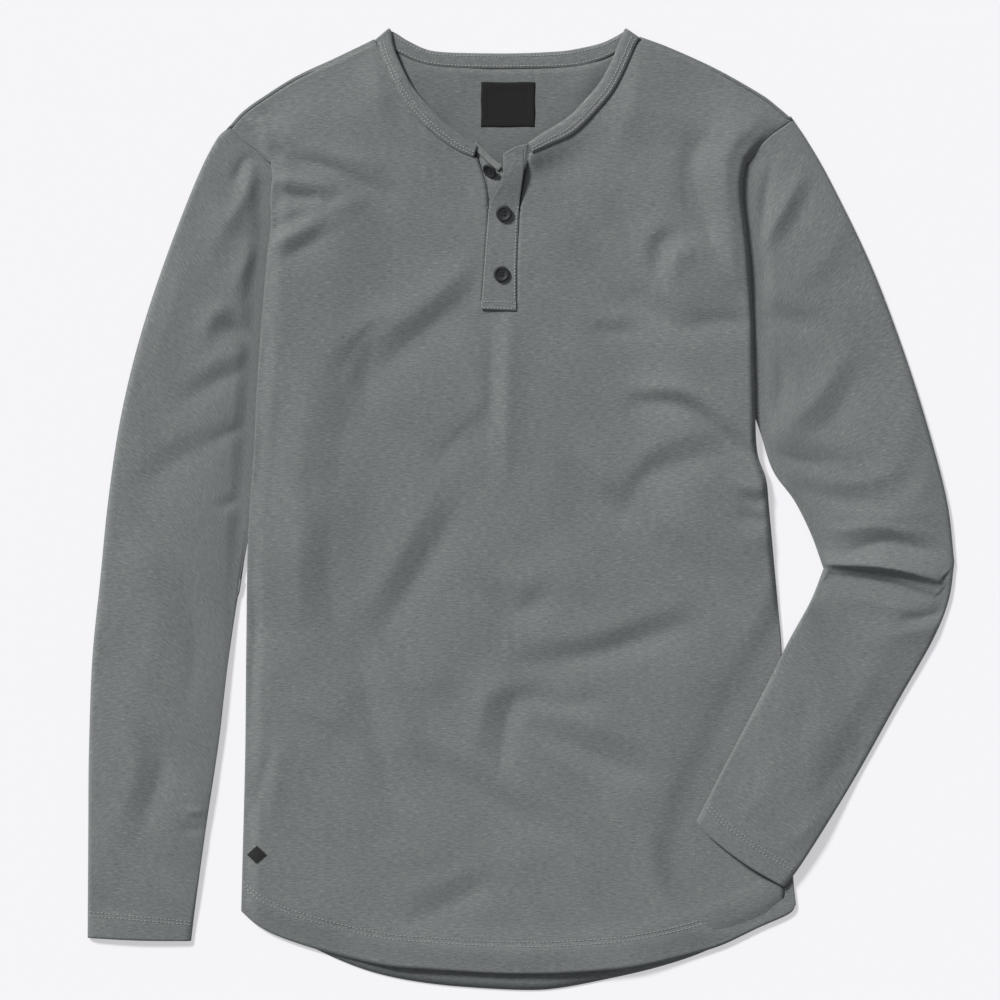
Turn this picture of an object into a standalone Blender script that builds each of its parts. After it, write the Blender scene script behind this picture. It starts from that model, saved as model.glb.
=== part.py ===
"""A long-sleeved henley shirt, laid flat on its back with the front up.

Metres, +Z up, +Y towards the neck. The origin is the middle of the laid-out shirt, on the
surface that it lies on. Outlines and folds are tables in millimetres; MM turns them into metres.
Left and right are those of someone looking down at the shirt, not the wearer's.
"""

import math

import bmesh
import bpy
from mathutils import Vector

MM = 0.001

# Driving dimensions, in millimetres.
WALL = 1.0  # jersey wall
BAND_WALL = 2.0  # doubled neckband
SEAM_GAP = 0.8  # between the cut edges of two sewn pieces
HIDDEN_GAP = 2.4  # the same where the body hides the seam
ROLL = 2.6  # height of an edge that is turned under
ROLL_INSET = 1.3  # how far the turn reaches in from the edge
TURN_UNDER = 7.0  # width of the strip turned under at the body's sides
SHOULDER_INSET = 2.6  # the shoulder seam lies this far in front of the outline
SLEEVE_HEIGHT = 3.2  # a flattened sleeve where the body lies on it
SLEEVE_LIFT = 3.6  # the body's side is raised this much over a sleeve
FOREARM_BASE = 3.4  # the folded-back forearm lies on the front from here up
BODY_LOFT = 1.5  # how far the middle of the front stands above its edges
COLLAR_LIFT = 3.6  # how far the open end of the collar stands up
SLEEVE_LOFT = 1.0
PLACKET_FOOT = 163.0  # y where the front's cut-out for the placket ends
PLACKET_MIDDLE = -15.0  # x of its middle
PLACKET_CELLS = 3  # mesh cells across it
BUTTON_RADIUS = 6.2
BUTTON_HEIGHT = 2.2
HOLE_RADIUS = 0.65
HOLE_RING = 1.7  # from the button's middle to each hole
LABEL_WIDTH = 42.0
LABEL_DEPTH = 35.0
LABEL_MIDDLE = (-10.2, 315.5, 2.3)  # z of its face
MARK_MIDDLE = (-206.0, -269.5, 1.7)  # z above the front's edge
MARK_RADIUS = 7.4

# Outlines, (x, y).
LEFT_SHOULDER = [(-228.5, 297.5), (-217.6, 309.7), (-202.8, 320.6), (-175.5, 337.7), (-145.9, 351.5),
                 (-114.5, 366.6)]
RIGHT_SHOULDER = [(92.9, 368.6), (117.0, 359.6), (152.9, 343.2), (187.2, 323.7), (199.7, 314.3),
                  (212.5, 303.4)]
LEFT_CORNER = (4.6, 0.3)  # from the end of the shoulder to the front panel's corner
RIGHT_CORNER = (-5.4, -0.2)
LEFT_ARMHOLE = [(-228.5, 297.5), (-217.5, 287.5), (-206.0, 279.2), (-195.8, 271.4)]
LEFT_HIDDEN_ARMHOLE = [(-195.8, 271.4), (-188.8, 248.8), (-187.2, 209.8), (-184.9, 170.8), (-178.6, 139.6)]
RIGHT_ARMHOLE = [(212.5, 303.4), (196.5, 292.5), (186.0, 282.4), (177.1, 272.2)]
RIGHT_HIDDEN_ARMHOLE = [(177.1, 272.2), (169.3, 248.8), (165.4, 209.8), (161.5, 170.8), (155.2, 139.6)]
LEFT_SIDE_HIGH = [(-202.0, 150.5), (-198.1, 196.6), (-195.0, 221.5), (-195.5, 241.0), (-194.2, 258.2),
                  (-195.3, 270.6)]
LEFT_SIDE_LOW = [(-218.4, -313.6), (-217.6, -282.4), (-215.3, -193.4), (-214.5, -110.0), (-212.9, -23.4),
                 (-208.3, 46.0),
                 (-205.9, 95.2), (-202.0, 150.5)]
RIGHT_SIDE_HIGH = [(181.0, 147.4), (178.6, 191.1), (175.5, 221.5), (173.2, 241.0), (173.4, 258.2),
                   (176.3, 271.6)]
RIGHT_SIDE_LOW = [(214.5, -308.9), (212.2, -283.1), (207.5, -195.8), (203.6, -112.3), (201.2, -81.9),
                  (197.3, -39.8),
                  (193.4, 1.6), (191.1, 23.4), (184.1, 45.2), (182.5, 85.0), (181.0, 147.4)]
HEM_LEFT = [(-218.4, -313.6), (-205.9, -324.5), (-188.0, -333.8), (-152.1, -345.5), (-106.9, -355.7),
            (-71.0, -358.8),
            (-31.0, -361.3)]
HEM_MIDDLE = [(-31.0, -361.3), (-17.0, -362.0), (-3.0, -362.3)]
HEM_RIGHT = [(-3.0, -362.3), (30.4, -361.9), (74.9, -358.8), (104.5, -354.1), (134.2, -347.1),
             (156.8, -340.1),
             (184.9, -326.8), (209.0, -315.9), (214.5, -308.9)]
PLACKET_LEFT = [(-31.0, PLACKET_FOOT), (-29.2, 194.2), (-27.0, 229.3), (-28.4, 252.7), (-35.1, 274.6)]
PLACKET_RIGHT = [(-2.8, PLACKET_FOOT), (-1.9, 193.4), (-0.4, 227.0), (2.2, 251.9), (7.8, 277.7)]
TAIL = [(-208.5, -312.0), (-190.0, -329.0), (-165.0, -341.0), (-139.6, -352.6), (-116.2, -361.1),
        (-88.9, -367.4),
        (-53.0, -372.1), (0.0, -375.2), (30.4, -373.6), (74.9, -365.0), (104.5, -358.0), (134.2, -348.7),
        (165.0, -335.5),
        (190.0, -324.0), (205.5, -311.0)]
BACK_LEFT = [(-208.5, -312.0), (-206.0, -193.0), (-205.0, -110.0), (-203.3, -40.0), (-202.5, 7.0),
             (-193.6, 61.6),
             (-176.8, 139.6)]
BACK_RIGHT = [(205.5, -311.0), (198.0, -196.0), (194.5, -112.0), (187.5, -40.0), (182.0, 5.0), (175.0, 69.4),
              (153.4, 139.6)]

# The neckband's stations: x and y of its free edge, x and y of its seam edge, and z of its middle.
BAND_LEFT = [  # down the front, from the shoulder to the placket
    (-99.8, 359.6, -109.2, 355.7, 3.5), (-93.6, 344.8, -103.0, 340.9, 3.5), (-85.8, 329.9, -95.2, 324.5, 3.4),
    (-74.1, 315.1, -83.5, 308.1, 3.2), (-59.3, 300.3, -66.3, 291.7, 3.0), (-44.5, 288.6, -50.7, 280.8, 2.8),
    (-34.2, 282.4, -36.6, 274.6, 2.8)]
BAND_BACK = [  # round the back of the neck, left to right
    (-97.5, 371.3, -105.3, 361.9, 1.0), (-88.9, 365.8, -94.4, 355.7, 1.0), (-74.1, 358.8, -78.8, 348.7, 1.0),
    (-59.3, 356.5, -62.4, 345.5, 1.0), (-32.0, 355.7, -32.0, 344.0, 1.0), (-0.8, 355.7, -0.8, 344.0, 1.0),
    (30.4, 357.2, 32.0, 344.8, 1.0), (46.0, 359.6, 49.1, 346.7, 1.0), (62.4, 363.5, 67.1, 352.6, 1.0),
    (74.1, 368.9, 80.3, 360.4, 1.0)]
BAND_RIGHT = [  # down the front, from the shoulder to the placket
    (74.9, 358.0, 85.0, 354.1, 3.5), (68.6, 344.0, 78.8, 340.1, 3.5), (60.8, 330.7, 71.0, 326.0, 3.5),
    (50.7, 319.0, 61.6, 314.3, 3.8), (39.8, 307.3, 48.4, 300.3, 4.6), (30.4, 300.3, 38.2, 291.7, 5.6),
    (18.7, 293.3, 23.4, 284.7, 6.8), (5.6, 284.4, 8.4, 277.9, 7.8)]
BAND_FOLDS = {"left": ((-103.7, 375.2), (-113.1, 367.2)), "right": ((82.4, 375.2), (91.6, 368.9))}

# The placket strips, top edge first: left, middle and right points, each (x, y, z of the outer face).
UNDER_ROWS = [
    ((-32.4, 280.8, 3.6), (-23.4, 271.4, 5.4), (-14.8, 264.4, 7.0)),
    ((-30.0, 270.0, 2.9), (-21.8, 260.5, 4.2), (-11.7, 251.2, 5.4)),
    ((-27.4, 252.7, 2.4), (-18.7, 246.5, 2.5), (-7.0, 241.0, 2.8)),
    ((-26.2, 229.3, 2.4), (-16.4, 229.3, 2.4), (-4.7, 229.3, 2.4)),
    ((-28.4, 194.2, 2.4), (-16.4, 194.2, 2.4), (-5.5, 194.2, 2.4)),
    ((-30.0, 164.0, 2.4), (-18.7, 164.0, 2.4), (-6.6, 164.0, 2.4))]
OVER_ROWS = [
    ((-14.0, 276.1, 11.5), (-4.7, 281.6, 10.6), (3.6, 283.1, 9.4)),
    ((-14.0, 264.4, 11.0), (-5.5, 266.0, 9.8), (1.9, 267.5, 8.4)),
    ((-16.4, 251.9, 8.6), (-7.8, 251.9, 7.6), (0.9, 251.9, 6.4)),
    ((-23.4, 240.2, 5.2), (-10.9, 238.7, 5.0), (-0.8, 237.1, 4.4)),
    ((-25.6, 229.3, 4.0), (-13.3, 228.5, 4.0), (-1.6, 227.0, 3.9)),
    ((-28.4, 194.2, 3.9), (-15.6, 193.4, 3.9), (-3.2, 193.4, 3.9)),
    ((-31.2, 155.6, 4.3), (-17.2, 155.0, 4.3), (-3.4, 154.4, 4.3))]

# The sleeves, cuff to armhole, (x, y).
LEFT_SLEEVE_OUTER = [(-338.2, -334.6), (-337.7, -250.0), (-337.2, -190.0), (-334.6, -117.8),
                     (-328.4, -55.4), (-322.1, 7.0),
                     (-312.8, 69.4), (-298.0, 131.8), (-277.7, 194.2), (-253.5, 256.6), (-237.9, 287.8),
                     (-228.5, 297.5)]
LEFT_SLEEVE_INNER = [(-257.4, -337.0), (-253.5, -305.0), (-244.9, -242.6), (-235.6, -180.2), (-228.5, -117.8),
                     (-219.2, -55.4), (-206.7, 7.0), (-195.8, 61.6), (-178.6, 139.6)]
LEFT_CUFF = [(-338.2, -334.6), (-298.0, -336.6), (-257.4, -337.0)]
FOREARM_INNER = [(136.5, -243.4), (157.6, -202.0), (191.9, -136.5), (209.0, -102.2), (226.2, -71.0),
                 (236.0, -46.5)]
FOREARM_OUTER = [(205.1, -294.8), (220.7, -273.8), (259.7, -211.4), (294.8, -149.0), (321.4, -102.2),
                 (333.8, -71.0),
                 (338.2, -41.5)]
RIGHT_CUFF = [(136.5, -243.4), (147.4, -255.8), (174.7, -276.9), (205.1, -294.8)]
ELBOW = [(236.0, -46.5), (290.0, -48.0), (338.2, -41.5)]
UPPER_ARM_INNER = [(236.0, -46.5), (226.0, -19.0), (212.9, 7.0), (196.0, 31.0), (183.3, 69.4), (155.2, 139.6)]
UPPER_ARM_OUTER = [(338.2, -41.5), (332.3, 7.0), (315.9, 69.4), (295.6, 131.8), (271.4, 194.2),
                   (241.0, 256.6),
                   (223.1, 287.8), (212.5, 303.4)]

# How far the body's side is raised over the sleeve beneath it, (y, share of SLEEVE_LIFT), bottom to top.
LEFT_RAISE = [(-95.0, 0.0), (-30.0, 1.0), (272.0, 1.0), (298.0, 0.4)]
RIGHT_RAISE = [(-50.0, 0.0), (20.0, 1.0), (272.0, 1.0), (303.0, 0.4)]

# The largest folds: x1, y1, x2, y2, half width and height. A trough's height is negative.
BODY_FOLDS = [
    (-128, 327, -45, 245, 22, -0.9), (-175, 276, -108, 251, 9, -1.1), (-37, 181, -120, 90, 16, -1.1),
    (-11, 150, -11, 30, 11, 1.2), (93, 87, 172, 42, 10, -1.2), (30, 44, 80, -9, 11, -1.1),
    (72, 12, 161, 48, 11, -1.0),
    (83, 168, 165, 149, 11, -1.0), (80, 309, 145, 225, 18, -1.1), (164, 285, 152, 210, 13, 1.6),
    (9, -115, 120, -90, 11, -1.1), (12, -147, -11, -204, 10, -1.0), (17, -170, 98, -219, 10, -1.1),
    (12, -206, 100, -300, 14, -0.8), (-73, -201, 15, -258, 12, -0.8), (-55, -3, -100, -92, 14, -1.0),
    (-141, -42, -97, -237, 12, -0.8), (-165, -3, -165, -55, 13, 1.0)]
SLEEVE_FOLDS = [
    (-221, 254, -196, 262, 10, 1.2), (-240, 140, -222, 165, 9, 1.1), (-258, 90, -216, 110, 9, -0.7),
    (-284, 28, -253, 48, 14, -0.7), (-292, -183, -298, -248, 10, -0.7), (218, 254, 198, 220, 10, 1.2),
    (250, 116, 208, 64, 12, 1.2), (262, -40, 335, -50, 9, -0.9), (250, -30, 322, -24, 8, 1.3),
    (268, -12, 318, -6, 8, -0.7)]

# The turned profile of a button, radius and height as shares of its own.
BUTTON_PROFILE = [(0.0, 0.72), (0.62, 0.72), (0.7, 0.98), (0.82, 1.0), (0.97, 0.8), (1.0, 0.5),
                  (0.9, 0.08), (0.8, 0.0),
                  (0.0, 0.0)]
# Each button's place, (x, y, z of its underside), and its tilt in degrees.
BUTTONS = [((-23.9, 263.6, 6.9), 36.0), ((-13.3, 230.1, 5.0), 0.0), ((-15.2, 182.9, 4.4), 0.0)]


def smooth(share):
    share = min(max(share, 0.0), 1.0)
    return share * share * (3 - 2 * share)


def table(rows, at):
    """The value at this place in rows of (place, value), straight between rows and level past the ends."""
    if at <= rows[0][0]:
        return rows[0][1]
    for (a, low), (b, high) in zip(rows, rows[1:]):
        if at <= b:
            return low + (high - low) * (at - a) / (b - a)
    return rows[-1][1]


def curve(points, parts):
    """parts + 1 points, evenly spaced along a smooth line through these."""
    knots = [Vector(point) for point in points]
    knots = [2 * knots[0] - knots[1], *knots, 2 * knots[-1] - knots[-2]]
    line = []
    for a, b, c, d in zip(knots, knots[1:], knots[2:], knots[3:]):
        for step in range(12):
            t = step / 12
            bend = (2 * a - 5 * b + 4 * c - d) * t ** 2 + (3 * b - a - 3 * c + d) * t ** 3
            line.append(0.5 * (2 * b + (c - a) * t + bend))
    line.append(knots[-2])
    run = [0.0]
    for a, b in zip(line, line[1:]):
        run.append(run[-1] + (b - a).length)
    found = []
    spot = 0
    for part in range(parts + 1):
        goal = run[-1] * part / parts
        while spot < len(line) - 2 and run[spot + 1] < goal:
            spot += 1
        share = (goal - run[spot]) / (run[spot + 1] - run[spot])
        found.append(line[spot].lerp(line[spot + 1], min(1.0, share)))
    return found


def inset(line, distance):
    """The line moved sideways, to its right when distance is positive."""
    moved = []
    for k, point in enumerate(line):
        along = line[min(k + 1, len(line) - 1)] - line[max(k - 1, 0)]
        moved.append(point + distance * Vector((along.y, -along.x)).normalized())
    return moved


def patch(bottom, top, left, right, fade=3):
    """Rows of points, bottom to top, filling four outlines that meet at their ends.

    What bends a side moves the rows less and less away from it, by this power of the distance.
    """
    rows = []
    for j, (start, end) in enumerate(zip(left, right)):
        v = j / (len(left) - 1)
        bend_left = start - bottom[0].lerp(top[0], v)
        bend_right = end - bottom[-1].lerp(top[-1], v)
        row = []
        for i, (low, high) in enumerate(zip(bottom, top)):
            u = i / (len(bottom) - 1)
            row.append(low.lerp(high, v) + (1 - u) ** fade * bend_left + u ** fade * bend_right)
        rows.append(row)
    return rows


def fold_height(folds, x, y):
    """How far the folds in a table move the cloth at this place."""
    total = 0.0
    for x1, y1, x2, y2, half_width, height in folds:
        start = Vector((x1, y1))
        run = Vector((x2, y2)) - start
        share = min(max((Vector((x, y)) - start).dot(run) / run.length_squared, 0.0), 1.0)
        away = (Vector((x, y)) - start - share * run).length / half_width
        total += height * math.exp(-away * away) * (0.6 + 0.4 * math.sin(math.pi * share))
    return total


def side_x(low, high, y):
    """Where the body's side is at this height."""
    return table([(p[1], p[0]) for p in low] + [(p[1], p[0]) for p in high[1:]], y)


def raise_at(x, y):
    """How far the front is raised by the sleeves beneath its sides."""
    near_left = 1 - smooth((x - side_x(LEFT_SIDE_LOW, LEFT_SIDE_HIGH, y) - 48) / 50)
    near_right = 1 - smooth((side_x(RIGHT_SIDE_LOW, RIGHT_SIDE_HIGH, y) - x - 48) / 50)
    return SLEEVE_LIFT * (near_left * table(LEFT_RAISE, y) + near_right * table(RIGHT_RAISE, y))


def under_forearm(x, y):
    """1 where the forearm lies on the front, falling to 0 away from it."""
    cuff = Vector((171.0, -269.0))
    run = Vector((270.0, -70.0)) - cuff
    share = min(max((Vector((x, y)) - cuff).dot(run) / run.length_squared, 0.0), 1.0)
    return 1 - smooth(((Vector((x, y)) - cuff - share * run).length - 56) / 25)


def front_top(x, y, inside):
    """Height of the front's outer face. inside is 0 at its edges and 1 in its middle."""
    free = inside * (1 - under_forearm(x, y))
    placket = (1 - smooth((abs(x - PLACKET_MIDDLE) - 18) / 14)) * smooth((y - PLACKET_FOOT + 26) / 14)
    collar_lift = COLLAR_LIFT * math.exp(-((x - 12) / 18) ** 2 - ((y - 276) / 20) ** 2) * smooth((x + 3) / 6)
    loft = free * (1 - placket) * (BODY_LOFT + fold_height(BODY_FOLDS, x, y))
    return ROLL + raise_at(x, y) + loft + collar_lift


def material(name, colour, roughness, sheen=0.0):
    made = bpy.data.materials.new(name)
    made.use_nodes = True
    shader = made.node_tree.nodes["Principled BSDF"]
    shader.inputs["Base Color"].default_value = (*colour, 1)
    shader.inputs["Roughness"].default_value = roughness
    shader.inputs["Metallic"].default_value = 0.0
    shader.inputs["Sheen Weight"].default_value = sheen
    return made


def place(name, mesh, finish):
    mesh.materials.append(finish)
    mesh.shade_smooth()
    mesh.set_sharp_from_angle(angle=math.radians(50))
    made = bpy.data.objects.new(name, mesh)
    shirt.objects.link(made)
    return made


def cloth(name, rows, wall=WALL, offset=-1.0, tube=False, left_out=(), finish=None):
    """A cloth wall on rows of points, bottom to top, each running left to right on the outer face."""
    across = len(rows[0])
    bm = bmesh.new()
    bmesh.ops.create_grid(bm, x_segments=across - 1, y_segments=len(rows) - 1, size=1)
    order = sorted(bm.verts, key=lambda vert: (round(vert.co.y, 4), round(vert.co.x, 4)))
    for vert, point in zip(order, (point for row in rows for point in row)):
        vert.co = Vector(point) * MM
    place_of = {vert: divmod(k, across) for k, vert in enumerate(order)}
    gone = [face for face in bm.faces if min(place_of[vert] for vert in face.verts) in left_out]
    bmesh.ops.delete(bm, geom=gone, context="FACES")
    if tube:
        bmesh.ops.remove_doubles(bm, verts=bm.verts, dist=0.00001)
    mesh = bpy.data.meshes.new(name)
    bm.to_mesh(mesh)
    bm.free()
    made = place(name, mesh, finish or jersey)
    solid = made.modifiers.new("Wall", "SOLIDIFY")
    solid.thickness = wall * MM
    solid.offset = offset
    solid.use_even_offset = True
    return made


def rolled_row(row, heights):
    """A row of the front with both its ends turned under, as (x, y, z)."""
    turn = []
    for k in (0, -1):
        edge = row[k]
        inward = (row[k + 1 if k == 0 else k - 1] - edge).normalized()
        turn.append([
            (*(edge + inward * TURN_UNDER), heights[k] - ROLL), (*(edge + inward * ROLL_INSET),
            heights[k] - ROLL),
            (*edge, heights[k] - ROLL / 2), (*(edge + inward * ROLL_INSET), heights[k])])
    middle = [(*point, z) for point, z in zip(row[1:-1], heights[1:-1])]
    return turn[0] + middle + turn[1][::-1]


def make_front():
    low_rows, high_rows = 15, 8
    left_side = curve(LEFT_SIDE_LOW, low_rows) + (
        curve(LEFT_SIDE_HIGH, 5) + inset(curve(LEFT_ARMHOLE, 3), -SEAM_GAP)[::-1][1:])[1:]
    right_side = curve(RIGHT_SIDE_LOW, low_rows) + (
        curve(RIGHT_SIDE_HIGH, 5) + inset(curve(RIGHT_ARMHOLE, 3), SEAM_GAP)[::-1][1:])[1:]
    left_cut = curve([HEM_LEFT[-1], (-31.0, -100.0),
    PLACKET_LEFT[0]], low_rows) + curve(PLACKET_LEFT, high_rows)[1:]
    right_cut = curve([HEM_RIGHT[0], (-3.0, -100.0),
    PLACKET_RIGHT[0]], low_rows) + curve(PLACKET_RIGHT, high_rows)[1:]
    left_neck = [Vector(station[2:4]) for station in BAND_LEFT]
    right_neck = [Vector(station[2:4]) for station in BAND_RIGHT][::-1]
    left_top = inset(curve(LEFT_SHOULDER, 5), SHOULDER_INSET + SEAM_GAP) + left_neck
    right_top = right_neck + inset(curve(RIGHT_SHOULDER, 5), SHOULDER_INSET + SEAM_GAP)
    left_side[-1] = left_top[0] = Vector(LEFT_SHOULDER[0]) + Vector(LEFT_CORNER)
    right_side[-1] = right_top[-1] = Vector(RIGHT_SHOULDER[-1]) + Vector(RIGHT_CORNER)
    left_cut[-1] = left_top[-1]
    right_cut[-1] = right_top[0]
    left = patch(curve(HEM_LEFT, len(left_top) - 1), left_top, left_side, left_cut)
    middle_top = curve([left_top[-1], right_top[0]], PLACKET_CELLS)
    middle = patch(curve(HEM_MIDDLE, PLACKET_CELLS), middle_top, left_cut, right_cut, fade=1)
    right = patch(curve(HEM_RIGHT, len(right_top) - 1), right_top, right_cut, right_side)
    plan = [a + b[1:-1] + c for a, b, c in zip(left, middle, right)]
    rows = []
    for j, row in enumerate(plan):
        v = j / (len(plan) - 1)
        heights = []
        for point in row:
            from_side = min(point.x - row[0].x, row[-1].x - point.x)
            inside = smooth(from_side / 34) * smooth(v / 0.07) * smooth((1 - v) / 0.1)
            heights.append(front_top(point.x, point.y, inside))
        rows.append(rolled_row(row, heights))
    first_gap = len(left[0]) + 2
    gap = range(first_gap, first_gap + PLACKET_CELLS)
    placket_cells = {(j, i) for j in range(low_rows, low_rows + high_rows) for i in gap}
    return cloth("front", rows, left_out=placket_cells)


def make_back():
    low_rows = 9
    left_arm = curve(LEFT_HIDDEN_ARMHOLE, 4)[::-1] + curve(LEFT_ARMHOLE, 2)[::-1][1:]
    right_arm = curve(RIGHT_HIDDEN_ARMHOLE, 4)[::-1] + curve(RIGHT_ARMHOLE, 2)[::-1][1:]
    left_shoulder = curve(LEFT_SHOULDER, 6)
    right_shoulder = curve(RIGHT_SHOULDER, 6)
    neck = [Vector(station[2:4]) + Vector((0, -SEAM_GAP)) for station in BAND_BACK]
    left_side = curve(BACK_LEFT, low_rows) + inset(left_arm, HIDDEN_GAP)[1:]
    right_side = curve(BACK_RIGHT, low_rows) + inset(right_arm, -HIDDEN_GAP)[1:]
    outline = left_shoulder + neck + right_shoulder
    flat = inset(left_shoulder, ROLL_INSET) + neck + inset(right_shoulder, ROLL_INSET)
    flat[0] = left_side[-1] = left_shoulder[0] + Vector((3.4, 0.6))
    flat[-1] = right_side[-1] = right_shoulder[-1] + Vector((-3.4, 0.6))
    outline[0] = left_shoulder[0] + Vector((1.6, 1.4))
    outline[-1] = right_shoulder[-1] + Vector((-1.6, 1.4))
    plan = patch(curve(TAIL, len(flat) - 1), flat, left_side, right_side)
    rows = [[(*point, 0.0) for point in row] for row in plan]
    seam_at = inset(left_shoulder, SHOULDER_INSET) + neck + inset(right_shoulder, SHOULDER_INSET)
    seam_at[0] = flat[0] + Vector((0.6, -0.4))
    seam_at[-1] = flat[-1] + Vector((-0.6, -0.4))
    tops = [front_top(*point, 0.0) for point in seam_at]
    rows.append([(*point, top / 2) for point, top in zip(outline, tops)])
    rows.append([(*point, top) for point, top in zip(flat, tops)])
    rows.append([(*point, top) for point, top in zip(seam_at, tops)])
    # Underside first: the rows run right to left, so that the outer face looks down.
    rows = [row[::-1] for row in rows]
    last = len(rows) - 1
    columns = len(rows[0])
    ends = len(left_shoulder)
    neck_cells = {(j, i) for j in range(last - 3, last) for i in range(ends - 1, columns - ends)}
    return cloth("back", rows, left_out=neck_cells)


def sleeve_heights(x, y, base, loft):
    """Height of a sleeve's upper face above the level that it lies on."""
    body_left = side_x(LEFT_SIDE_LOW, LEFT_SIDE_HIGH, y)
    body_right = side_x(RIGHT_SIDE_LOW, RIGHT_SIDE_HIGH, y)
    clear = smooth((max(body_left - x, x - body_right) - 8) / 16)
    free = max(clear, smooth(base / FOREARM_BASE))
    return base + SLEEVE_HEIGHT + loft * free * (SLEEVE_LOFT + fold_height(SLEEVE_FOLDS, x, y))


def make_sleeve(name, plan, base_at):
    """A flattened tube on rows of points, cuff to armhole, each running left to right."""
    rows = []
    for row in plan:
        start, end = row[0], row[-1]
        inward = (row[1] - start).normalized()
        outward = (row[-2] - end).normalized()
        spots = [start + inward * 1.6, *row[1:-1], end + outward * 1.6]
        count = len(spots) - 1
        top = [(*p, sleeve_heights(p.x, p.y, base_at(p.x, p.y),
        math.sin(math.pi * (0.12 + 0.76 * k / count))))
               for k, p in enumerate(spots)]
        under = [(*p, base_at(p.x, p.y)) for p in spots]
        mid = [(*p, base_at(p.x, p.y) + SLEEVE_HEIGHT / 2) for p in (start, end)]
        rows.append([mid[0], *top, mid[1], *under[::-1], mid[0]])
    return cloth(name, rows, tube=True)


def forearm_level(x, y):
    """The forearm lies on the front, and comes down to the floor past the body's side."""
    past = x - side_x(RIGHT_SIDE_LOW, RIGHT_SIDE_HIGH, y)
    return FOREARM_BASE * (1 - smooth((past - 16) / 45)) * smooth((-y - 52) / 30)


def make_sleeves():
    across = 8
    left = patch(curve(LEFT_CUFF, across), curve(LEFT_ARMHOLE + LEFT_HIDDEN_ARMHOLE[1:], across),
                 curve(LEFT_SLEEVE_OUTER, 22), curve(LEFT_SLEEVE_INNER, 22))
    make_sleeve("sleeve_left", left, lambda x, y: 0.0)
    forearm = patch(curve(RIGHT_CUFF, across), curve(ELBOW, across), curve(FOREARM_INNER, 11),
    curve(FOREARM_OUTER, 11))
    head = curve((RIGHT_ARMHOLE + RIGHT_HIDDEN_ARMHOLE[1:])[::-1], across)
    upper = patch(curve(ELBOW, across), head, curve(UPPER_ARM_INNER, 12), curve(UPPER_ARM_OUTER, 12))
    make_sleeve("sleeve_right", forearm + upper[1:], forearm_level)


def band_turn(free, seam, front_z, back_z):
    """The neckband's fold over the shoulder, from the front down to the back: three stations."""
    free, seam = Vector(free), Vector(seam)
    line = free - seam
    out = Vector((line.y, -line.x)).normalized()
    if out.y < 0:
        out = -out
    stations = []
    for inward, z in ((2.6, front_z), (1.1, (front_z + back_z) / 2), (2.6, back_z)):
        stations.append((*(free - inward * out), *(seam - inward * out), z))
    return stations


def make_neckband():
    left_turn = band_turn(*BAND_FOLDS["left"], 3.5, 1.0)
    right_turn = band_turn(*BAND_FOLDS["right"], 3.5, 1.0)
    stations = BAND_LEFT[::-1] + left_turn + BAND_BACK + right_turn[::-1] + BAND_RIGHT
    rows = []
    for free_x, free_y, seam_x, seam_y, z in stations:
        free, seam = Vector((free_x, free_y)), Vector((seam_x, seam_y))
        seam += (free - seam).normalized() * SEAM_GAP
        rows.append([(*seam, z), (*free, z)])
    return cloth("neckband", rows, wall=BAND_WALL, offset=0.0)


def make_button(name, spot, tilt):
    """A turned disc with a raised rim and four holes."""
    bm = bmesh.new()
    profile = [bm.verts.new((r * BUTTON_RADIUS * MM, 0, h * BUTTON_HEIGHT * MM)) for r, h in BUTTON_PROFILE]
    edges = [bm.edges.new(pair) for pair in zip(profile, profile[1:])]
    bmesh.ops.spin(bm, geom=profile + edges, cent=(0, 0, 0), axis=(0, 0, 1),
    angle=math.tau, steps=24, use_merge=True)
    bmesh.ops.remove_doubles(bm, verts=bm.verts, dist=0.00001)
    bmesh.ops.recalc_face_normals(bm, faces=bm.faces)
    mesh = bpy.data.meshes.new(name)
    bm.to_mesh(mesh)
    bm.free()
    made = place(name, mesh, horn)
    bm = bmesh.new()
    for k in range(4):
        angle = math.radians(45 + 90 * k)
        hole = bmesh.ops.create_cone(bm, cap_ends=True, segments=8, radius1=HOLE_RADIUS * MM,
                                     radius2=HOLE_RADIUS * MM, depth=3 * BUTTON_HEIGHT * MM)
        bmesh.ops.translate(bm, verts=hole["verts"], vec=Vector((math.cos(angle), math.sin(angle),
        0)) * HOLE_RING * MM)
    holes = bpy.data.meshes.new(name + "_holes")
    bm.to_mesh(holes)
    bm.free()
    cutter = bpy.data.objects.new(name + "_holes", holes)
    cutter.hide_render = True
    cutter.display_type = "WIRE"
    cutters.objects.link(cutter)
    cutter.parent = made
    cut = made.modifiers.new("Holes", "BOOLEAN")
    cut.operation = "DIFFERENCE"
    cut.object = cutter
    made.location = Vector(spot) * MM
    # A tilted button faces down and to the left, like the strip that it is sewn to.
    made.rotation_mode = "AXIS_ANGLE"
    made.rotation_axis_angle = (math.radians(tilt), 1 / math.sqrt(2), -1 / math.sqrt(2), 0)


def make_label():
    """A folded woven label, flat on the inside of the back."""
    x, y, z = LABEL_MIDDLE
    left, right = x - LABEL_WIDTH / 2, x + LABEL_WIDTH / 2
    rows = [[(left, end, z), (right, end, z)] for end in (y - LABEL_DEPTH / 2, y + LABEL_DEPTH / 2)]
    return cloth("neck_label", rows, finish=woven)


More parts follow.
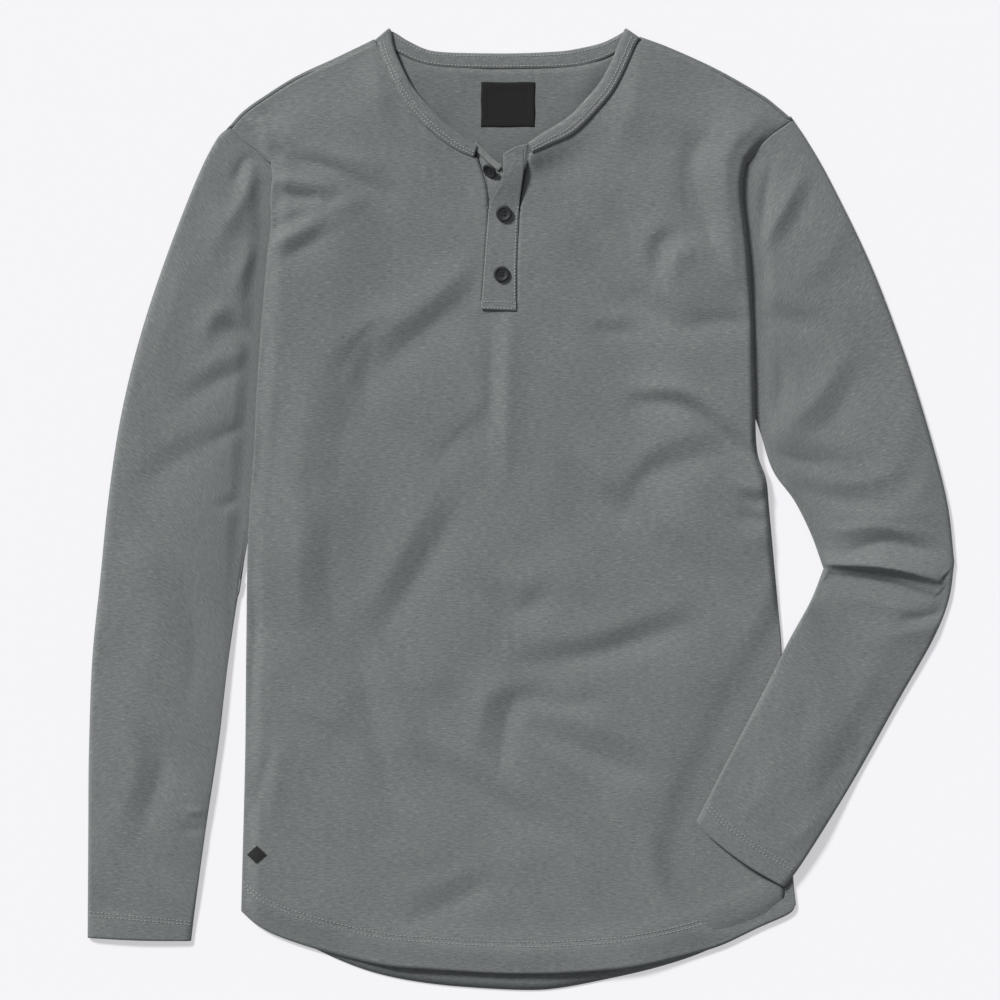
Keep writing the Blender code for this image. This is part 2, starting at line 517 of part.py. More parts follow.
def make_mark():
    """A satin-stitched lozenge."""
    bm = bmesh.new()
    bmesh.ops.create_cone(bm, cap_ends=True, segments=4, radius1=MARK_RADIUS * MM,
                          radius2=(MARK_RADIUS - 0.8) * MM, depth=0.8 * MM)
    x, y, z = MARK_MIDDLE
    bmesh.ops.translate(bm, verts=bm.verts, vec=Vector((x, y, ROLL + z)) * MM)
    mesh = bpy.data.meshes.new("hem_mark")
    bm.to_mesh(mesh)
    bm.free()
    return place("hem_mark", mesh, woven)


for old in list(bpy.data.objects):
    bpy.data.objects.remove(old)
shirt = bpy.data.collections.new("henley_shirt")
cutters = bpy.data.collections.new("cutters")
for group in (shirt, cutters):
    bpy.context.scene.collection.children.link(group)

jersey = material("grey_green_jersey", (0.17, 0.19, 0.19), 0.9, sheen=0.3)
horn = material("charcoal_button", (0.015, 0.016, 0.018), 0.35)
woven = material("black_thread", (0.012, 0.012, 0.013), 0.7)

make_back()
make_sleeves()
make_front()
make_neckband()
cloth("placket_under", UNDER_ROWS[::-1])
cloth("placket_over", OVER_ROWS[::-1])
for number, (spot, tilt) in enumerate(BUTTONS, start=1):
    make_button(f"button_{number}", spot, tilt)
make_label()
make_mark()
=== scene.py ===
import math

import bmesh
import bpy
import numpy as np
from mathutils import Matrix, Vector
from mathutils.bvhtree import BVHTree


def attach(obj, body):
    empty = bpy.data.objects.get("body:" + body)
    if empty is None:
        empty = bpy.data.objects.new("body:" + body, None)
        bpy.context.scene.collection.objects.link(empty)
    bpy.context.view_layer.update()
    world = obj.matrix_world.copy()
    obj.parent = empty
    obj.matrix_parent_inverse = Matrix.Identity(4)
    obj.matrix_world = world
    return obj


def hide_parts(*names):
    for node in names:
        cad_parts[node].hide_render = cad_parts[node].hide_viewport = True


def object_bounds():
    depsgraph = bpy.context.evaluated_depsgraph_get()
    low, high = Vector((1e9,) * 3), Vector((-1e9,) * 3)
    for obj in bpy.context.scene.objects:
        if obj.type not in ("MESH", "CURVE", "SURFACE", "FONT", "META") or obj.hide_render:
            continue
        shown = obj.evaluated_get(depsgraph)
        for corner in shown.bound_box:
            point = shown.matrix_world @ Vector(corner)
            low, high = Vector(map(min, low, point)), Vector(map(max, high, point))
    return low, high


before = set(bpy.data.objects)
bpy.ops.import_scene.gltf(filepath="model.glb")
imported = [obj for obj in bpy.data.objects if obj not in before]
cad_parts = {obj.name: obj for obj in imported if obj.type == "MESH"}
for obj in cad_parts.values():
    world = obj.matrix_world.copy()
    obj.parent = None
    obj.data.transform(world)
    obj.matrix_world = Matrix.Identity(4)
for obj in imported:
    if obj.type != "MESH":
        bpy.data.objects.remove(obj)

cad_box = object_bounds()
scene = bpy.context.scene
MM = 0.001  # the shirt's outlines and folds are in millimetres

# ---------------------------------------------------------------------------------------------
# Studio. A white sweep lit by one soft key light, low over the collar's left, with an even fill
# from the room. The camera hangs high over the shirt and looks straight down.
VIEW_WIDTH = 780.0  # how much of the floor the camera takes in
VIEW_MIDDLE = (-16.4, 7.0)
LENS = 160.0
SENSOR = 36.0
KEY_FROM = Vector((-0.66, 0.72, 0.66))

scene.view_settings.view_transform = "Standard"
scene.view_settings.look = "None"

room = bpy.data.worlds.new("room")
room.use_nodes = True
room.node_tree.nodes["Background"].inputs["Color"].default_value = (0.97, 0.98, 1.0, 1)
room.node_tree.nodes["Background"].inputs["Strength"].default_value = 0.27
scene.world = room

key = bpy.data.lights.new("key", "SUN")
key.energy = 4.03
key.angle = math.radians(12)
key.color = (1.0, 0.99, 0.97)
key_stand = bpy.data.objects.new("key", key)
key_stand.rotation_euler = KEY_FROM.to_track_quat("Z", "Y").to_euler()
scene.collection.objects.link(key_stand)

lens = bpy.data.cameras.new("camera")
lens.lens = LENS
lens.sensor_width = SENSOR
lens.clip_end = 50.0
camera = bpy.data.objects.new("camera", lens)
shirt_top = 0.003
camera.location = (VIEW_MIDDLE[0] * MM, VIEW_MIDDLE[1] * MM, VIEW_WIDTH * MM * LENS / SENSOR + shirt_top)
scene.collection.objects.link(camera)
scene.camera = camera

bm = bmesh.new()
bmesh.ops.create_grid(bm, x_segments=1, y_segments=1, size=6.0)
bmesh.ops.translate(bm, verts=bm.verts, vec=(0, 0, cad_box[0][2] - 0.0002))
mesh = bpy.data.meshes.new("floor")
bm.to_mesh(mesh)
bm.free()
floor = bpy.data.objects.new("floor", mesh)
scene.collection.objects.link(floor)


def new_finish(name, sockets):
    """A material with these sockets of its shader set, its node tree and the shader."""
    made = bpy.data.materials.new(name)
    made.use_nodes = True
    shader = made.node_tree.nodes["Principled BSDF"]
    for socket, value in sockets.items():
        shader.inputs[socket].default_value = value
    return made, made.node_tree, shader


sweep, _, _ = new_finish("white_sweep", {
    "Base Color": (0.47, 0.465, 0.485, 1), "Roughness": 0.9, "Specular IOR Level": 0.1,
    "Emission Color": (0.97, 0.965, 1.0, 1), "Emission Strength": 0.47})
floor.data.materials.append(sweep)

# ---------------------------------------------------------------------------------------------
# Back panel. One flat piece of grey-green heather jersey, lying on the surface with its inside up.
# At the shoulders it wraps forward over the edge to meet the front; its tail shows below the hem.
BACK_WALL = 0.9
ROLL = 2.6  # height of an edge that is turned under
SHOULDER_INSET = 2.6  # the shoulder seam lies this far in front of the outline
TAIL_RISE = 3.4  # how far the tail rises from its edge up to the front's hem
SAME_PLACE = 0.002  # points this close are merged
HEATHER_TONES = [(0.26, (0.118, 0.131, 0.134)), (0.46, (0.166, 0.180, 0.182)),
                 (0.56, (0.182, 0.196, 0.196)), (0.76, (0.262, 0.272, 0.266))]
LEFT_SHOULDER = [(-228.5, 297.5), (-217.6, 309.7), (-202.8, 320.6), (-175.5, 337.7), (-145.9, 351.5),
                 (-114.5, 366.6)]
RIGHT_SHOULDER = [(92.9, 368.6), (117.0, 359.6), (152.9, 343.2), (187.2, 323.7), (199.7, 314.3),
                  (212.5, 303.4)]
LEFT_ARMHOLE = [(-228.5, 297.5), (-217.5, 287.5), (-206.0, 279.2), (-195.8, 271.4)]
LEFT_HIDDEN_ARMHOLE = [(-195.8, 271.4), (-188.8, 248.8), (-187.2, 209.8), (-184.9, 170.8), (-178.6, 139.6)]
RIGHT_ARMHOLE = [(212.5, 303.4), (196.5, 292.5), (186.0, 282.4), (177.1, 272.2)]
RIGHT_HIDDEN_ARMHOLE = [(177.1, 272.2), (169.3, 248.8), (165.4, 209.8), (161.5, 170.8), (155.2, 139.6)]
TAIL = [(-208.5, -312.0), (-190.0, -329.0), (-165.0, -341.0), (-139.6, -352.6), (-116.2, -361.1),
        (-88.9, -367.4), (-53.0, -372.1), (0.0, -375.2), (30.4, -373.6), (74.9, -365.0), (104.5, -358.0),
        (134.2, -348.7), (165.0, -335.5), (190.0, -324.0), (205.5, -311.0)]
BACK_LEFT = [(-208.5, -312.0), (-206.0, -193.0), (-205.0, -110.0), (-203.3, -40.0), (-202.5, 7.0),
             (-193.6, 61.6), (-176.8, 139.6)]
BACK_RIGHT = [(205.5, -311.0), (198.0, -196.0), (194.5, -112.0), (187.5, -40.0), (182.0, 5.0), (175.0, 69.4),
              (153.4, 139.6)]
# The neckband's line round the back of the neck: free edge, seam edge, height of its middle.
BAND_BACK = [
    (-97.5, 371.3, -105.3, 361.9, 1.0), (-88.9, 365.8, -94.4, 355.7, 1.0), (-74.1, 358.8, -78.8, 348.7, 1.0),
    (-59.3, 356.5, -62.4, 345.5, 1.0), (-32.0, 355.7, -32.0, 344.0, 1.0), (-0.8, 355.7, -0.8, 344.0, 1.0),
    (30.4, 357.2, 32.0, 344.8, 1.0), (46.0, 359.6, 49.1, 346.7, 1.0), (62.4, 363.5, 67.1, 352.6, 1.0),
    (74.1, 368.9, 80.3, 360.4, 1.0)]
# Small creases of the back inside the neck: three points, half width up and down the slope, height.
NECK_CREASES = [
    ((-46, 336), (-38, 333), (-24, 341), 2.5, 4, -1.1), ((-66, 333), (-52, 328), (-36, 318), 7, 9, 0.5),
    ((34, 336), (46, 330), (56, 318), 7, 9, 0.5), ((-20, 298), (0, 294), (22, 300), 7, 9, 0.4),
    ((-94, 342), (-80, 316), (-62, 296), 14, 17, 3.4), ((78, 344), (70, 330), (56, 314), 12, 9, -1.8),
    ((60, 350), (52, 334), (38, 318), 14, 12, 2.0)]


def smooth(share):
    """An even rise from 0 to 1, flat at both ends."""
    share = np.clip(share, 0.0, 1.0)
    return share * share * (3 - 2 * share)


def even(count):
    """Shares from 0 to 1 in this many equal steps."""
    return np.linspace(0.0, 1.0, count + 1)


def crowded(count, pull=0.7):
    """Shares that lie closer together near both ends."""
    t = even(count)
    return t - pull * np.sin(2 * math.pi * t) / (2 * math.pi)


def run_of(line):
    """The length along a line, from its start to each of its points."""
    return np.concatenate([[0], np.cumsum(np.linalg.norm(np.diff(line, axis=0), axis=1))])


def curve(points, shares):
    """Points at these shares of the length of a smooth line."""
    knots = np.array(points, float)
    knots = np.vstack([2 * knots[0] - knots[1], knots, 2 * knots[-1] - knots[-2]])
    t = np.arange(12)[:, None] / 12
    line = []
    for a, b, c, d in zip(knots, knots[1:], knots[2:], knots[3:]):
        square = 2 * a - 5 * b + 4 * c - d
        cube = 3 * b - a - 3 * c + d
        line.append(0.5 * (2 * b + (c - a) * t + square * t ** 2 + cube * t ** 3))
    line = np.vstack([*line, knots[-2]])
    run = run_of(line)
    return np.column_stack([np.interp(np.asarray(shares) * run[-1], run, column) for column in line.T])


def inset(line, distance):
    """A plane line moved sideways, to its right when distance is positive."""
    along = np.vstack([line[1] - line[0], line[2:] - line[:-2], line[-1] - line[-2]])
    normal = np.column_stack([along[:, 1], -along[:, 0]])
    return line + distance * normal / np.linalg.norm(normal, axis=1)[:, None]


def chain(*lines):
    """Lines that follow each other, with each shared point taken once."""
    return np.vstack([lines[0]] + [line[1:] for line in lines[1:]])


def patch(bottom, top, left, right, fade=3):
    """Rows of points, bottom to top, between four lines that meet at their ends."""
    v = np.linspace(0, 1, len(left))[:, None, None]
    u = np.linspace(0, 1, len(bottom))[None, :, None]
    straight = bottom[None] * (1 - v) + top[None] * v
    bend_left = left[:, None] - (bottom[0] * (1 - v) + top[0] * v)
    bend_right = right[:, None] - (bottom[-1] * (1 - v) + top[-1] * v)
    return straight + (1 - u) ** fade * bend_left + u ** fade * bend_right


def crease_height(creases, x, y):
    """How far creases lift the cloth at these places. Each follows a bend through three points."""
    total = np.zeros_like(x)
    for a, b, c, up_width, down_width, height in creases:
        line = curve([a, b, c], even(10))
        best = np.full(x.shape, 1e9)
        lift = np.zeros_like(x)
        for k, (start, end) in enumerate(zip(line, line[1:])):
            run = end - start
            t = np.clip(((x - start[0]) * run[0] + (y - start[1]) * run[1]) / (run @ run), 0, 1)
            dx = x - start[0] - t * run[0]
            dy = y - start[1] - t * run[1]
            away = np.hypot(dx, dy)
            # The upper-left side of a crease has its own width.
            width = np.where(dy - dx > 0, up_width, down_width)
            share = (k + t) / (len(line) - 1)
            strength = 0.35 + 0.65 * np.sin(math.pi * share) ** 0.7
            here = height * np.exp(-np.abs(away / width) ** 1.5) * strength
            lift = np.where(away < best, here, lift)
            best = np.minimum(best, away)
        total += lift
    return total


def slack(x, y, height):
    """The cloth's small unevenness: a few long waves that cross each other."""
    waves = [(0.052, 0.031, 0.0, 0.30), (-0.036, 0.064, 1.3, 0.26), (0.094, -0.047, 2.1, 0.18),
             (0.021, 0.118, 0.7, 0.12), (-0.132, -0.060, 3.9, 0.10), (0.171, 0.083, 5.1, 0.05)]
    total = np.zeros_like(x)
    for across, along, start, share in waves:
        bend = 1.1 * np.sin(0.019 * x - 0.027 * y + 2 * start)
        total += share * np.sin(across * x + along * y + start + bend)
    return height * total


def sew(name, points, lay, wall, finish, gone=None, tube=False):
    """A cloth wall on a grid of points, rows bottom to top. lay holds their places on the flat cloth."""
    down, across = points.shape[:2]
    bm = bmesh.new()
    bmesh.ops.create_grid(bm, x_segments=across - 1, y_segments=down - 1, size=1)
    if gone is not None:
        for face in list(bm.faces):
            middle = face.calc_center_median()
            column = int((middle.x + 1) / 2 * (across - 1))
            row = int((middle.y + 1) / 2 * (down - 1))
            if gone[row, column]:
                bm.faces.remove(face)
    mesh = bpy.data.meshes.new(name)
    bm.to_mesh(mesh)
    flat = np.empty(len(mesh.vertices) * 3)
    mesh.vertices.foreach_get("co", flat)
    flat = flat.reshape(-1, 3)
    column = np.rint((flat[:, 0] + 1) / 2 * (across - 1)).astype(int)
    row = np.rint((flat[:, 1] + 1) / 2 * (down - 1)).astype(int)
    mesh.vertices.foreach_set("co", (points[row, column] * MM).ravel())
    corner = np.empty(len(mesh.loops), int)
    mesh.loops.foreach_get("vertex_index", corner)
    cloth_map = mesh.uv_layers.new(name="cloth")
    cloth_map.data.foreach_set("uv", (lay[row, column][corner] * MM).ravel())
    bm.clear()
    bm.from_mesh(mesh)
    if tube:
        bmesh.ops.remove_doubles(bm, verts=bm.verts, dist=SAME_PLACE * MM)
    loose = [vert for vert in bm.verts if not vert.link_faces]
    bmesh.ops.delete(bm, geom=loose, context="VERTS")
    bm.to_mesh(mesh)
    bm.free()
    mesh.materials.append(finish)
    mesh.shade_smooth()
    made = bpy.data.objects.new(name, mesh)
    scene.collection.objects.link(made)
    solid = made.modifiers.new("Wall", "SOLIDIFY")
    solid.thickness = wall * MM
    solid.offset = -1.0
    return made


def new_node(tree, kind, sockets):
    """A node of a material, with these sockets set."""
    made = tree.nodes.new("ShaderNode" + kind)
    for socket, value in sockets.items():
        made.inputs[socket].default_value = value
    return made


def on_cloth(tree):
    """A pattern's place on the flat cloth, in metres."""
    where = new_node(tree, "UVMap", {})
    where.uv_map = "cloth"
    return where.outputs["UV"]


def sum_or_product(tree, operation, first, second):
    """Two values, added or multiplied."""
    made = new_node(tree, "Math", {})
    made.operation = operation
    tree.links.new(first, made.inputs[0])
    tree.links.new(second, made.inputs[1])
    return made.outputs["Value"]


def ribs(tree, where, direction, period, bend, detail=2.0, detail_scale=1.0):
    """Fine parallel ridges, this many millimetres apart."""
    wave = new_node(tree, "TexWave", {
        "Scale": 0.314 / (period * MM), "Distortion": bend, "Detail": detail, "Detail Scale": detail_scale})
    wave.bands_direction = direction
    tree.links.new(where, wave.inputs["Vector"])
    return wave.outputs["Fac"]


def ramp(tree, value, stops):
    """Colours spread over a value, each with its place."""
    made = new_node(tree, "ValToRGB", {})
    while len(made.color_ramp.elements) < len(stops):
        made.color_ramp.elements.new(0.5)
    for element, (place, colour) in zip(made.color_ramp.elements, stops):
        element.position = place
        element.color = (*colour, 1)
    tree.links.new(value, made.inputs["Fac"])
    return made.outputs["Color"]


def emboss(tree, shader, height, strength, depth):
    """Raises a pattern on a finish as a fine relief."""
    made = new_node(tree, "Bump", {"Strength": strength, "Distance": depth})
    tree.links.new(height, made.inputs["Height"])
    tree.links.new(made.outputs["Normal"], shader.inputs["Normal"])


def jersey(name, shade=1.0):
    """Heather jersey: mottled yarns in fine courses, a soft fuzz, and its knit as a fine relief. A shade
    below 1 darkens all its tones as painted shade.
    """
    made, tree, shader = new_finish(name, {
        "Roughness": 0.86, "Specular IOR Level": 0.18, "Sheen Weight": 0.16, "Sheen Roughness": 0.45,
        "Sheen Tint": (0.86, 0.92, 0.92, 1)})
    links = tree.links
    where = on_cloth(tree)

    def streaks(x_scale, y_scale, detail, bend):
        turn = new_node(tree, "Mapping", {"Scale": (x_scale, y_scale, 1)})
        speck = new_node(tree, "TexNoise", {
            "Scale": 1.0, "Detail": detail, "Roughness": 0.65, "Distortion": bend})
        links.new(where, turn.inputs["Vector"])
        links.new(turn.outputs["Vector"], speck.inputs["Vector"])
        return speck.outputs["Fac"]

    def softened(below, above):
        mixed = new_node(tree, "Mix", {"Factor": 0.9})
        mixed.data_type = "RGBA"
        mixed.blend_type = "SOFT_LIGHT"
        links.new(below, mixed.inputs["A"])
        links.new(above, mixed.inputs["B"])
        return mixed.outputs["Result"]

    def greys(*stops):
        return [(place, (tone, tone, tone)) for place, tone in stops]

    tones = [(place, [shade * part for part in tone]) for place, tone in HEATHER_TONES]
    yarns = ramp(tree, streaks(190, 980, 3.0, 0.4), tones)
    flecks = ramp(tree, streaks(820, 1500, 2.0, 0.0), greys((0.3, 0.40), (0.5, 0.5), (0.7, 0.60)))
    clouds = ramp(tree, streaks(14, 22, 2.0, 0.6), [(0.3, (0.47, 0.475, 0.475)), (0.7, (0.53, 0.525, 0.525))])
    links.new(softened(softened(yarns, flecks), clouds), shader.inputs["Base Color"])

    # Wales run along the cloth and courses across it, with loose fibres over both.
    wales = ribs(tree, where, "X", 0.72, 0.6, 1.0, 0.6)
    courses = ribs(tree, where, "Y", 0.56, 1.2, 1.0, 0.6)
    knit = sum_or_product(tree, "MULTIPLY", wales, courses)
    relief = sum_or_product(tree, "ADD", knit, streaks(420, 900, 3.0, 0.0))
    emboss(tree, shader, relief, 0.55, 0.00022)
    return made


heather = jersey("grey_green_jersey")
# A copy of the jersey 10% darker for the back: painted shade for the inside of the neck and the tail, which
# lie in shade under the front.
painted_shade_jersey = jersey("jersey_painted_shade", shade=0.9)

left_arm = chain(curve(LEFT_HIDDEN_ARMHOLE[::-1], even(30)), curve(LEFT_ARMHOLE[::-1], even(14)))
right_arm = chain(curve(RIGHT_HIDDEN_ARMHOLE[::-1], even(30)), curve(RIGHT_ARMHOLE[::-1], even(14)))
left_shoulder = curve(LEFT_SHOULDER, even(26))
right_shoulder = curve(RIGHT_SHOULDER, even(26))
neck = curve([station[2:4] for station in BAND_BACK], even(60)) + (0, -0.3)
left_side = chain(curve(BACK_LEFT, crowded(70, 0.5)), inset(left_arm, 2.4))
right_side = chain(curve(BACK_RIGHT, crowded(70, 0.5)), inset(right_arm, -2.4))
flat_top = np.vstack([inset(left_shoulder, 1.3), neck, inset(right_shoulder, 1.3)])
flat_top[0] = left_side[-1] = left_shoulder[0] + (1.4, 0.1)
flat_top[-1] = right_side[-1] = right_shoulder[-1] + (-1.4, 0.1)
outline = np.vstack([left_shoulder, neck, right_shoulder])
outline[0] = left_shoulder[0] + (0.2, 0.4)
outline[-1] = right_shoulder[-1] + (-0.2, 0.4)
seam_at = np.vstack([inset(left_shoulder, SHOULDER_INSET), neck, inset(right_shoulder, SHOULDER_INSET)])
seam_at[0] = flat_top[0] + (0.6, -0.4)
seam_at[-1] = flat_top[-1] + (-0.6, -0.4)
plan = patch(curve(TAIL, even(len(flat_top) - 1)), flat_top, left_side, right_side)
x, y = plan[..., 0], plan[..., 1]
in_neck = smooth((x + 104) / 12) * smooth((88 - x) / 12)
in_neck = in_neck * smooth((y - 270) / 20) * smooth((352 - y) / 10)
lift = in_neck * (0.35 + slack(x, y, 0.5) + crease_height(NECK_CREASES, x, y))
tail_line = np.array(TAIL)
above_tail = y - np.interp(x, tail_line[:, 0], tail_line[:, 1])
lift = np.maximum(lift, 0.0) + TAIL_RISE * smooth((above_tail + 2) / 18) * smooth((50 - above_tail) / 26)
rows = [np.dstack([plan, lift])]
# Over the shoulders the cloth turns up and forward in a half round, to the height of the front's
# edge, which the sleeve's head raises a little.
near_sleeve = np.clip((np.abs(flat_top[:, 0] + 8) - 150) / 60, 0, 1)
top_level = ROLL + 0.72 * near_sleeve
turns = np.radians([30, 60, 90, 120, 150, 180])
for turn in turns:
    if turn <= math.pi / 2:
        across = flat_top + (outline - flat_top) * math.sin(turn)
    else:
        across = outline + (seam_at - outline) * (1 - math.sin(turn))
    level = top_level * (1 - math.cos(turn)) / 2
    rows.append(np.dstack([across[None], level[None]]))
points = np.concatenate(rows)
lay = points[..., :2].copy()
# At the neck nothing is turned. Its outer face looks down, so the rows run from right to left.
last = len(points) - 1
gone = np.zeros((last, points.shape[1] - 1), bool)
gone[last - len(turns):, len(left_shoulder) - 1:-(len(right_shoulder) - 1)] = True
back = sew("back_panel", points[:, ::-1], lay[:, ::-1], BACK_WALL, painted_shade_jersey, gone=gone)
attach(back, "root")
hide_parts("back")

# ---------------------------------------------------------------------------------------------
# Sleeves. Long tubes of the same jersey, flattened, sewn into the armholes. The left one lies
# beside the body; the right one bends at the elbow, and its forearm lies over the front.
SLEEVE_WALL = 0.9
SLEEVE_HEIGHT = 3.2
SLEEVE_LOFT = 2.8
CREASE = 1.6  # how strongly the creases stand out
EDGE_ROUND = 4.5
FOREARM_BASE = 3.4  # how high the forearm lies on the front
LEAST_TOP = 2.3
LEFT_HEM_ROWS = 9
RIGHT_HEM_ROWS = 16
LEFT_SIDE_HIGH = [(-202.0, 150.5), (-198.1, 196.6), (-195.0, 221.5), (-195.5, 241.0), (-194.2, 258.2),
                  (-195.3, 270.6)]
LEFT_SIDE_LOW = [(-218.4, -313.6), (-217.6, -282.4), (-215.3, -193.4), (-214.5, -110.0), (-212.9, -23.4),
                 (-208.3, 46.0), (-205.9, 95.2), (-202.0, 150.5)]
RIGHT_SIDE_HIGH = [(181.0, 147.4), (178.6, 191.1), (175.5, 221.5), (173.2, 241.0), (173.4, 258.2),
                   (176.3, 271.6)]
RIGHT_SIDE_LOW = [(214.5, -308.9), (212.2, -283.1), (207.5, -195.8), (203.6, -112.3), (201.2, -81.9),
                  (197.3, -39.8), (193.4, 1.6), (191.1, 23.4), (184.1, 45.2), (182.5, 85.0), (181.0, 147.4)]
LEFT_SLEEVE_OUTER = [(-338.2, -334.6), (-337.7, -250.0), (-337.2, -190.0), (-334.6, -117.8),
                     (-328.4, -55.4), (-322.1, 7.0), (-312.8, 69.4), (-298.0, 131.8), (-277.7, 194.2),
                     (-253.5, 256.6), (-237.9, 287.8), (-228.5, 297.5)]
LEFT_SLEEVE_INNER = [(-257.4, -337.0), (-253.5, -305.0), (-244.9, -242.6), (-235.6, -180.2), (-228.5, -117.8),
                     (-219.2, -55.4), (-206.7, 7.0), (-195.8, 61.6), (-178.6, 139.6)]
LEFT_CUFF = [(-338.2, -334.6), (-298.0, -336.6), (-257.4, -337.0)]
FOREARM_INNER = [(136.5, -243.4), (157.6, -202.0), (191.9, -136.5), (209.0, -102.2), (226.2, -71.0),
                 (236.0, -46.5)]
FOREARM_OUTER = [(205.1, -294.8), (220.7, -273.8), (259.7, -211.4), (294.8, -149.0), (321.4, -102.2),
                 (333.8, -71.0), (338.2, -41.5)]
RIGHT_CUFF = [(136.5, -243.4), (147.4, -255.8), (174.7, -276.9), (205.1, -294.8)]
ELBOW = [(236.0, -46.5), (290.0, -48.0), (338.2, -41.5)]
UPPER_ARM_INNER = [(236.0, -46.5), (226.0, -19.0), (212.9, 7.0), (196.0, 31.0), (183.3, 69.4), (155.2, 139.6)]
UPPER_ARM_OUTER = [(338.2, -41.5), (332.3, 7.0), (315.9, 69.4), (295.6, 131.8), (271.4, 194.2),
                   (241.0, 256.6), (223.1, 287.8), (212.5, 303.4)]
SLEEVE_CREASES = [
    # Left sleeve, from the armhole down.
    ((-223, 256), (-212, 274), (-195, 259), 4, 3.5, -2.3),
    ((-209, 266), (-214, 248), (-229, 222), 5, 8, 1.9), ((-203, 254), (-200, 234), (-198, 212), 6, 6, -1.2),
    ((-240, 240), (-234, 222), (-240, 200), 9, 9, 0.9), ((-226, 216), (-212, 212), (-200, 208), 8, 8, -0.8),
    ((-224, 172), (-214, 190), (-202, 204), 8, 5, 1.3),
    ((-216, 160), (-208, 174), (-199, 194), 4.5, 6, -1.3),
    ((-246, 134), (-240, 150), (-226, 158), 8, 6, 1.6), ((-234, 138), (-222, 140), (-204, 128), 7, 9, -2.0),
    ((-262, 84), (-236, 100), (-206, 112), 8, 8, -1.3), ((-256, 102), (-236, 116), (-208, 122), 9, 8, 1.0),
    ((-242, 52), (-226, 60), (-208, 66), 5, 6, -1.2), ((-290, 22), (-266, 40), (-242, 50), 16, 14, -1.5),
    ((-284, 44), (-262, 60), (-240, 68), 14, 12, 0.9), ((-234, 2), (-222, 6), (-211, 8), 5, 5, -1.2),
    ((-318, 110), (-300, 60), (-306, 10), 14, 16, 0.7),
    ((-262, 200), (-272, 160), (-284, 120), 14, 14, 0.8),
    ((-296, -30), (-284, -80), (-296, -140), 14, 18, 0.8),
    ((-262, -60), (-254, -110), (-262, -160), 10, 12, -0.8),
    ((-292, -178), (-280, -200), (-296, -250), 9, 11, -1.4),
    ((-310, -160), (-300, -200), (-312, -240), 12, 8, 0.9),
    ((-312, -256), (-292, -272), (-274, -294), 9, 9, -1.1),
    ((-330, -302), (-314, -312), (-298, -314), 9, 6, -0.9),
    ((-262, -234), (-256, -236), (-248, -236), 3, 3, 0.9),
    ((-264, -246), (-257, -250), (-249, -250), 3, 4, -0.8),
    # Right sleeve, from the armhole to the elbow.
    ((217, 258), (206, 236), (190, 208), 7, 7, 1.7), ((228, 254), (217, 228), (204, 208), 8, 8, -0.9),
    ((194, 266), (190, 238), (185, 200), 9, 5, -2.2), ((190, 196), (187, 186), (184, 160), 7, 5, -1.4),
    ((252, 226), (238, 196), (214, 176), 13, 10, 0.9), ((187, 158), (204, 148), (224, 142), 6, 8, -1.4),
    ((190, 170), (210, 162), (232, 156), 9, 6, 0.9), ((196, 130), (203, 104), (200, 74), 8, 8, -1.2),
    ((252, 118), (232, 88), (206, 62), 14, 9, 1.5), ((262, 104), (244, 72), (222, 54), 8, 11, -0.8),
    ((194, 46), (214, 38), (238, 35), 6, 8, -1.3), ((204, 58), (232, 52), (262, 44), 10, 8, 1.0),
    ((306, 90), (300, 50), (280, 20), 14, 14, 0.7), ((216, 18), (246, 8), (276, 6), 9, 8, -1.2),
    ((236, 22), (262, 20), (292, 28), 8, 7, 0.9), ((318, 40), (312, 14), (292, 0), 10, 12, 0.9),
    ((256, 0), (284, -6), (322, -2), 8, 8, 0.8), ((256, -33), (284, -26), (320, -33), 6, 6, -2.0),
    ((246, -18), (276, -14), (314, -20), 7, 6, 1.6), ((238, -43), (284, -46), (326, -56), 9, 2.4, 4.6),
    ((240, -51), (286, -57), (322, -69), 2.6, 11, -1.9), ((258, -68), (290, -76), (322, -84), 8, 8, 1.0),
    ((298, -86), (314, -84), (330, -80), 5, 6, -1.7), ((286, -98), (304, -96), (324, -92), 8, 8, 0.9),
    # Forearm, down to the cuff.
    ((232, -74), (238, -92), (252, -112), 8, 10, -0.8),
    ((278, -118), (262, -150), (244, -178), 13, 13, 0.8),
    ((216, -128), (224, -152), (216, -184), 10, 12, -0.7),
    ((262, -182), (244, -206), (230, -228), 12, 12, -0.8),
    ((196, -196), (188, -222), (172, -240), 11, 11, 0.6),
    ((232, -236), (222, -250), (208, -262), 8, 8, 0.6)]

LEFT_SIDE = LEFT_SIDE_LOW + LEFT_SIDE_HIGH[1:]
RIGHT_SIDE = RIGHT_SIDE_LOW + RIGHT_SIDE_HIGH[1:]


def side_x(side, y):
    """How far across the body's side is at this y."""
    line = np.array(side)
    return np.interp(y, line[:, 1], line[:, 0])


def forearm_level(x, y):
    """The forearm lies on the front, and comes down to the floor past the body's side."""
    past = x - side_x(RIGHT_SIDE, y)
    return FOREARM_BASE * (1 - smooth((past - 16) / 45)) * smooth((-y - 52) / 30)


def round_off(away, radius):
    """0 at an edge, rising in a quarter round to 1 at the radius."""
    near = 1 - np.clip(away / radius, 0, 1)
    return np.sqrt(1 - near * near)


def from_ends(grid):
    """How far each point is from the nearer end of its row."""
    first = np.linalg.norm(grid - grid[:, :1], axis=2)
    last = np.linalg.norm(grid - grid[:, -1:], axis=2)
    return np.minimum(first, last)


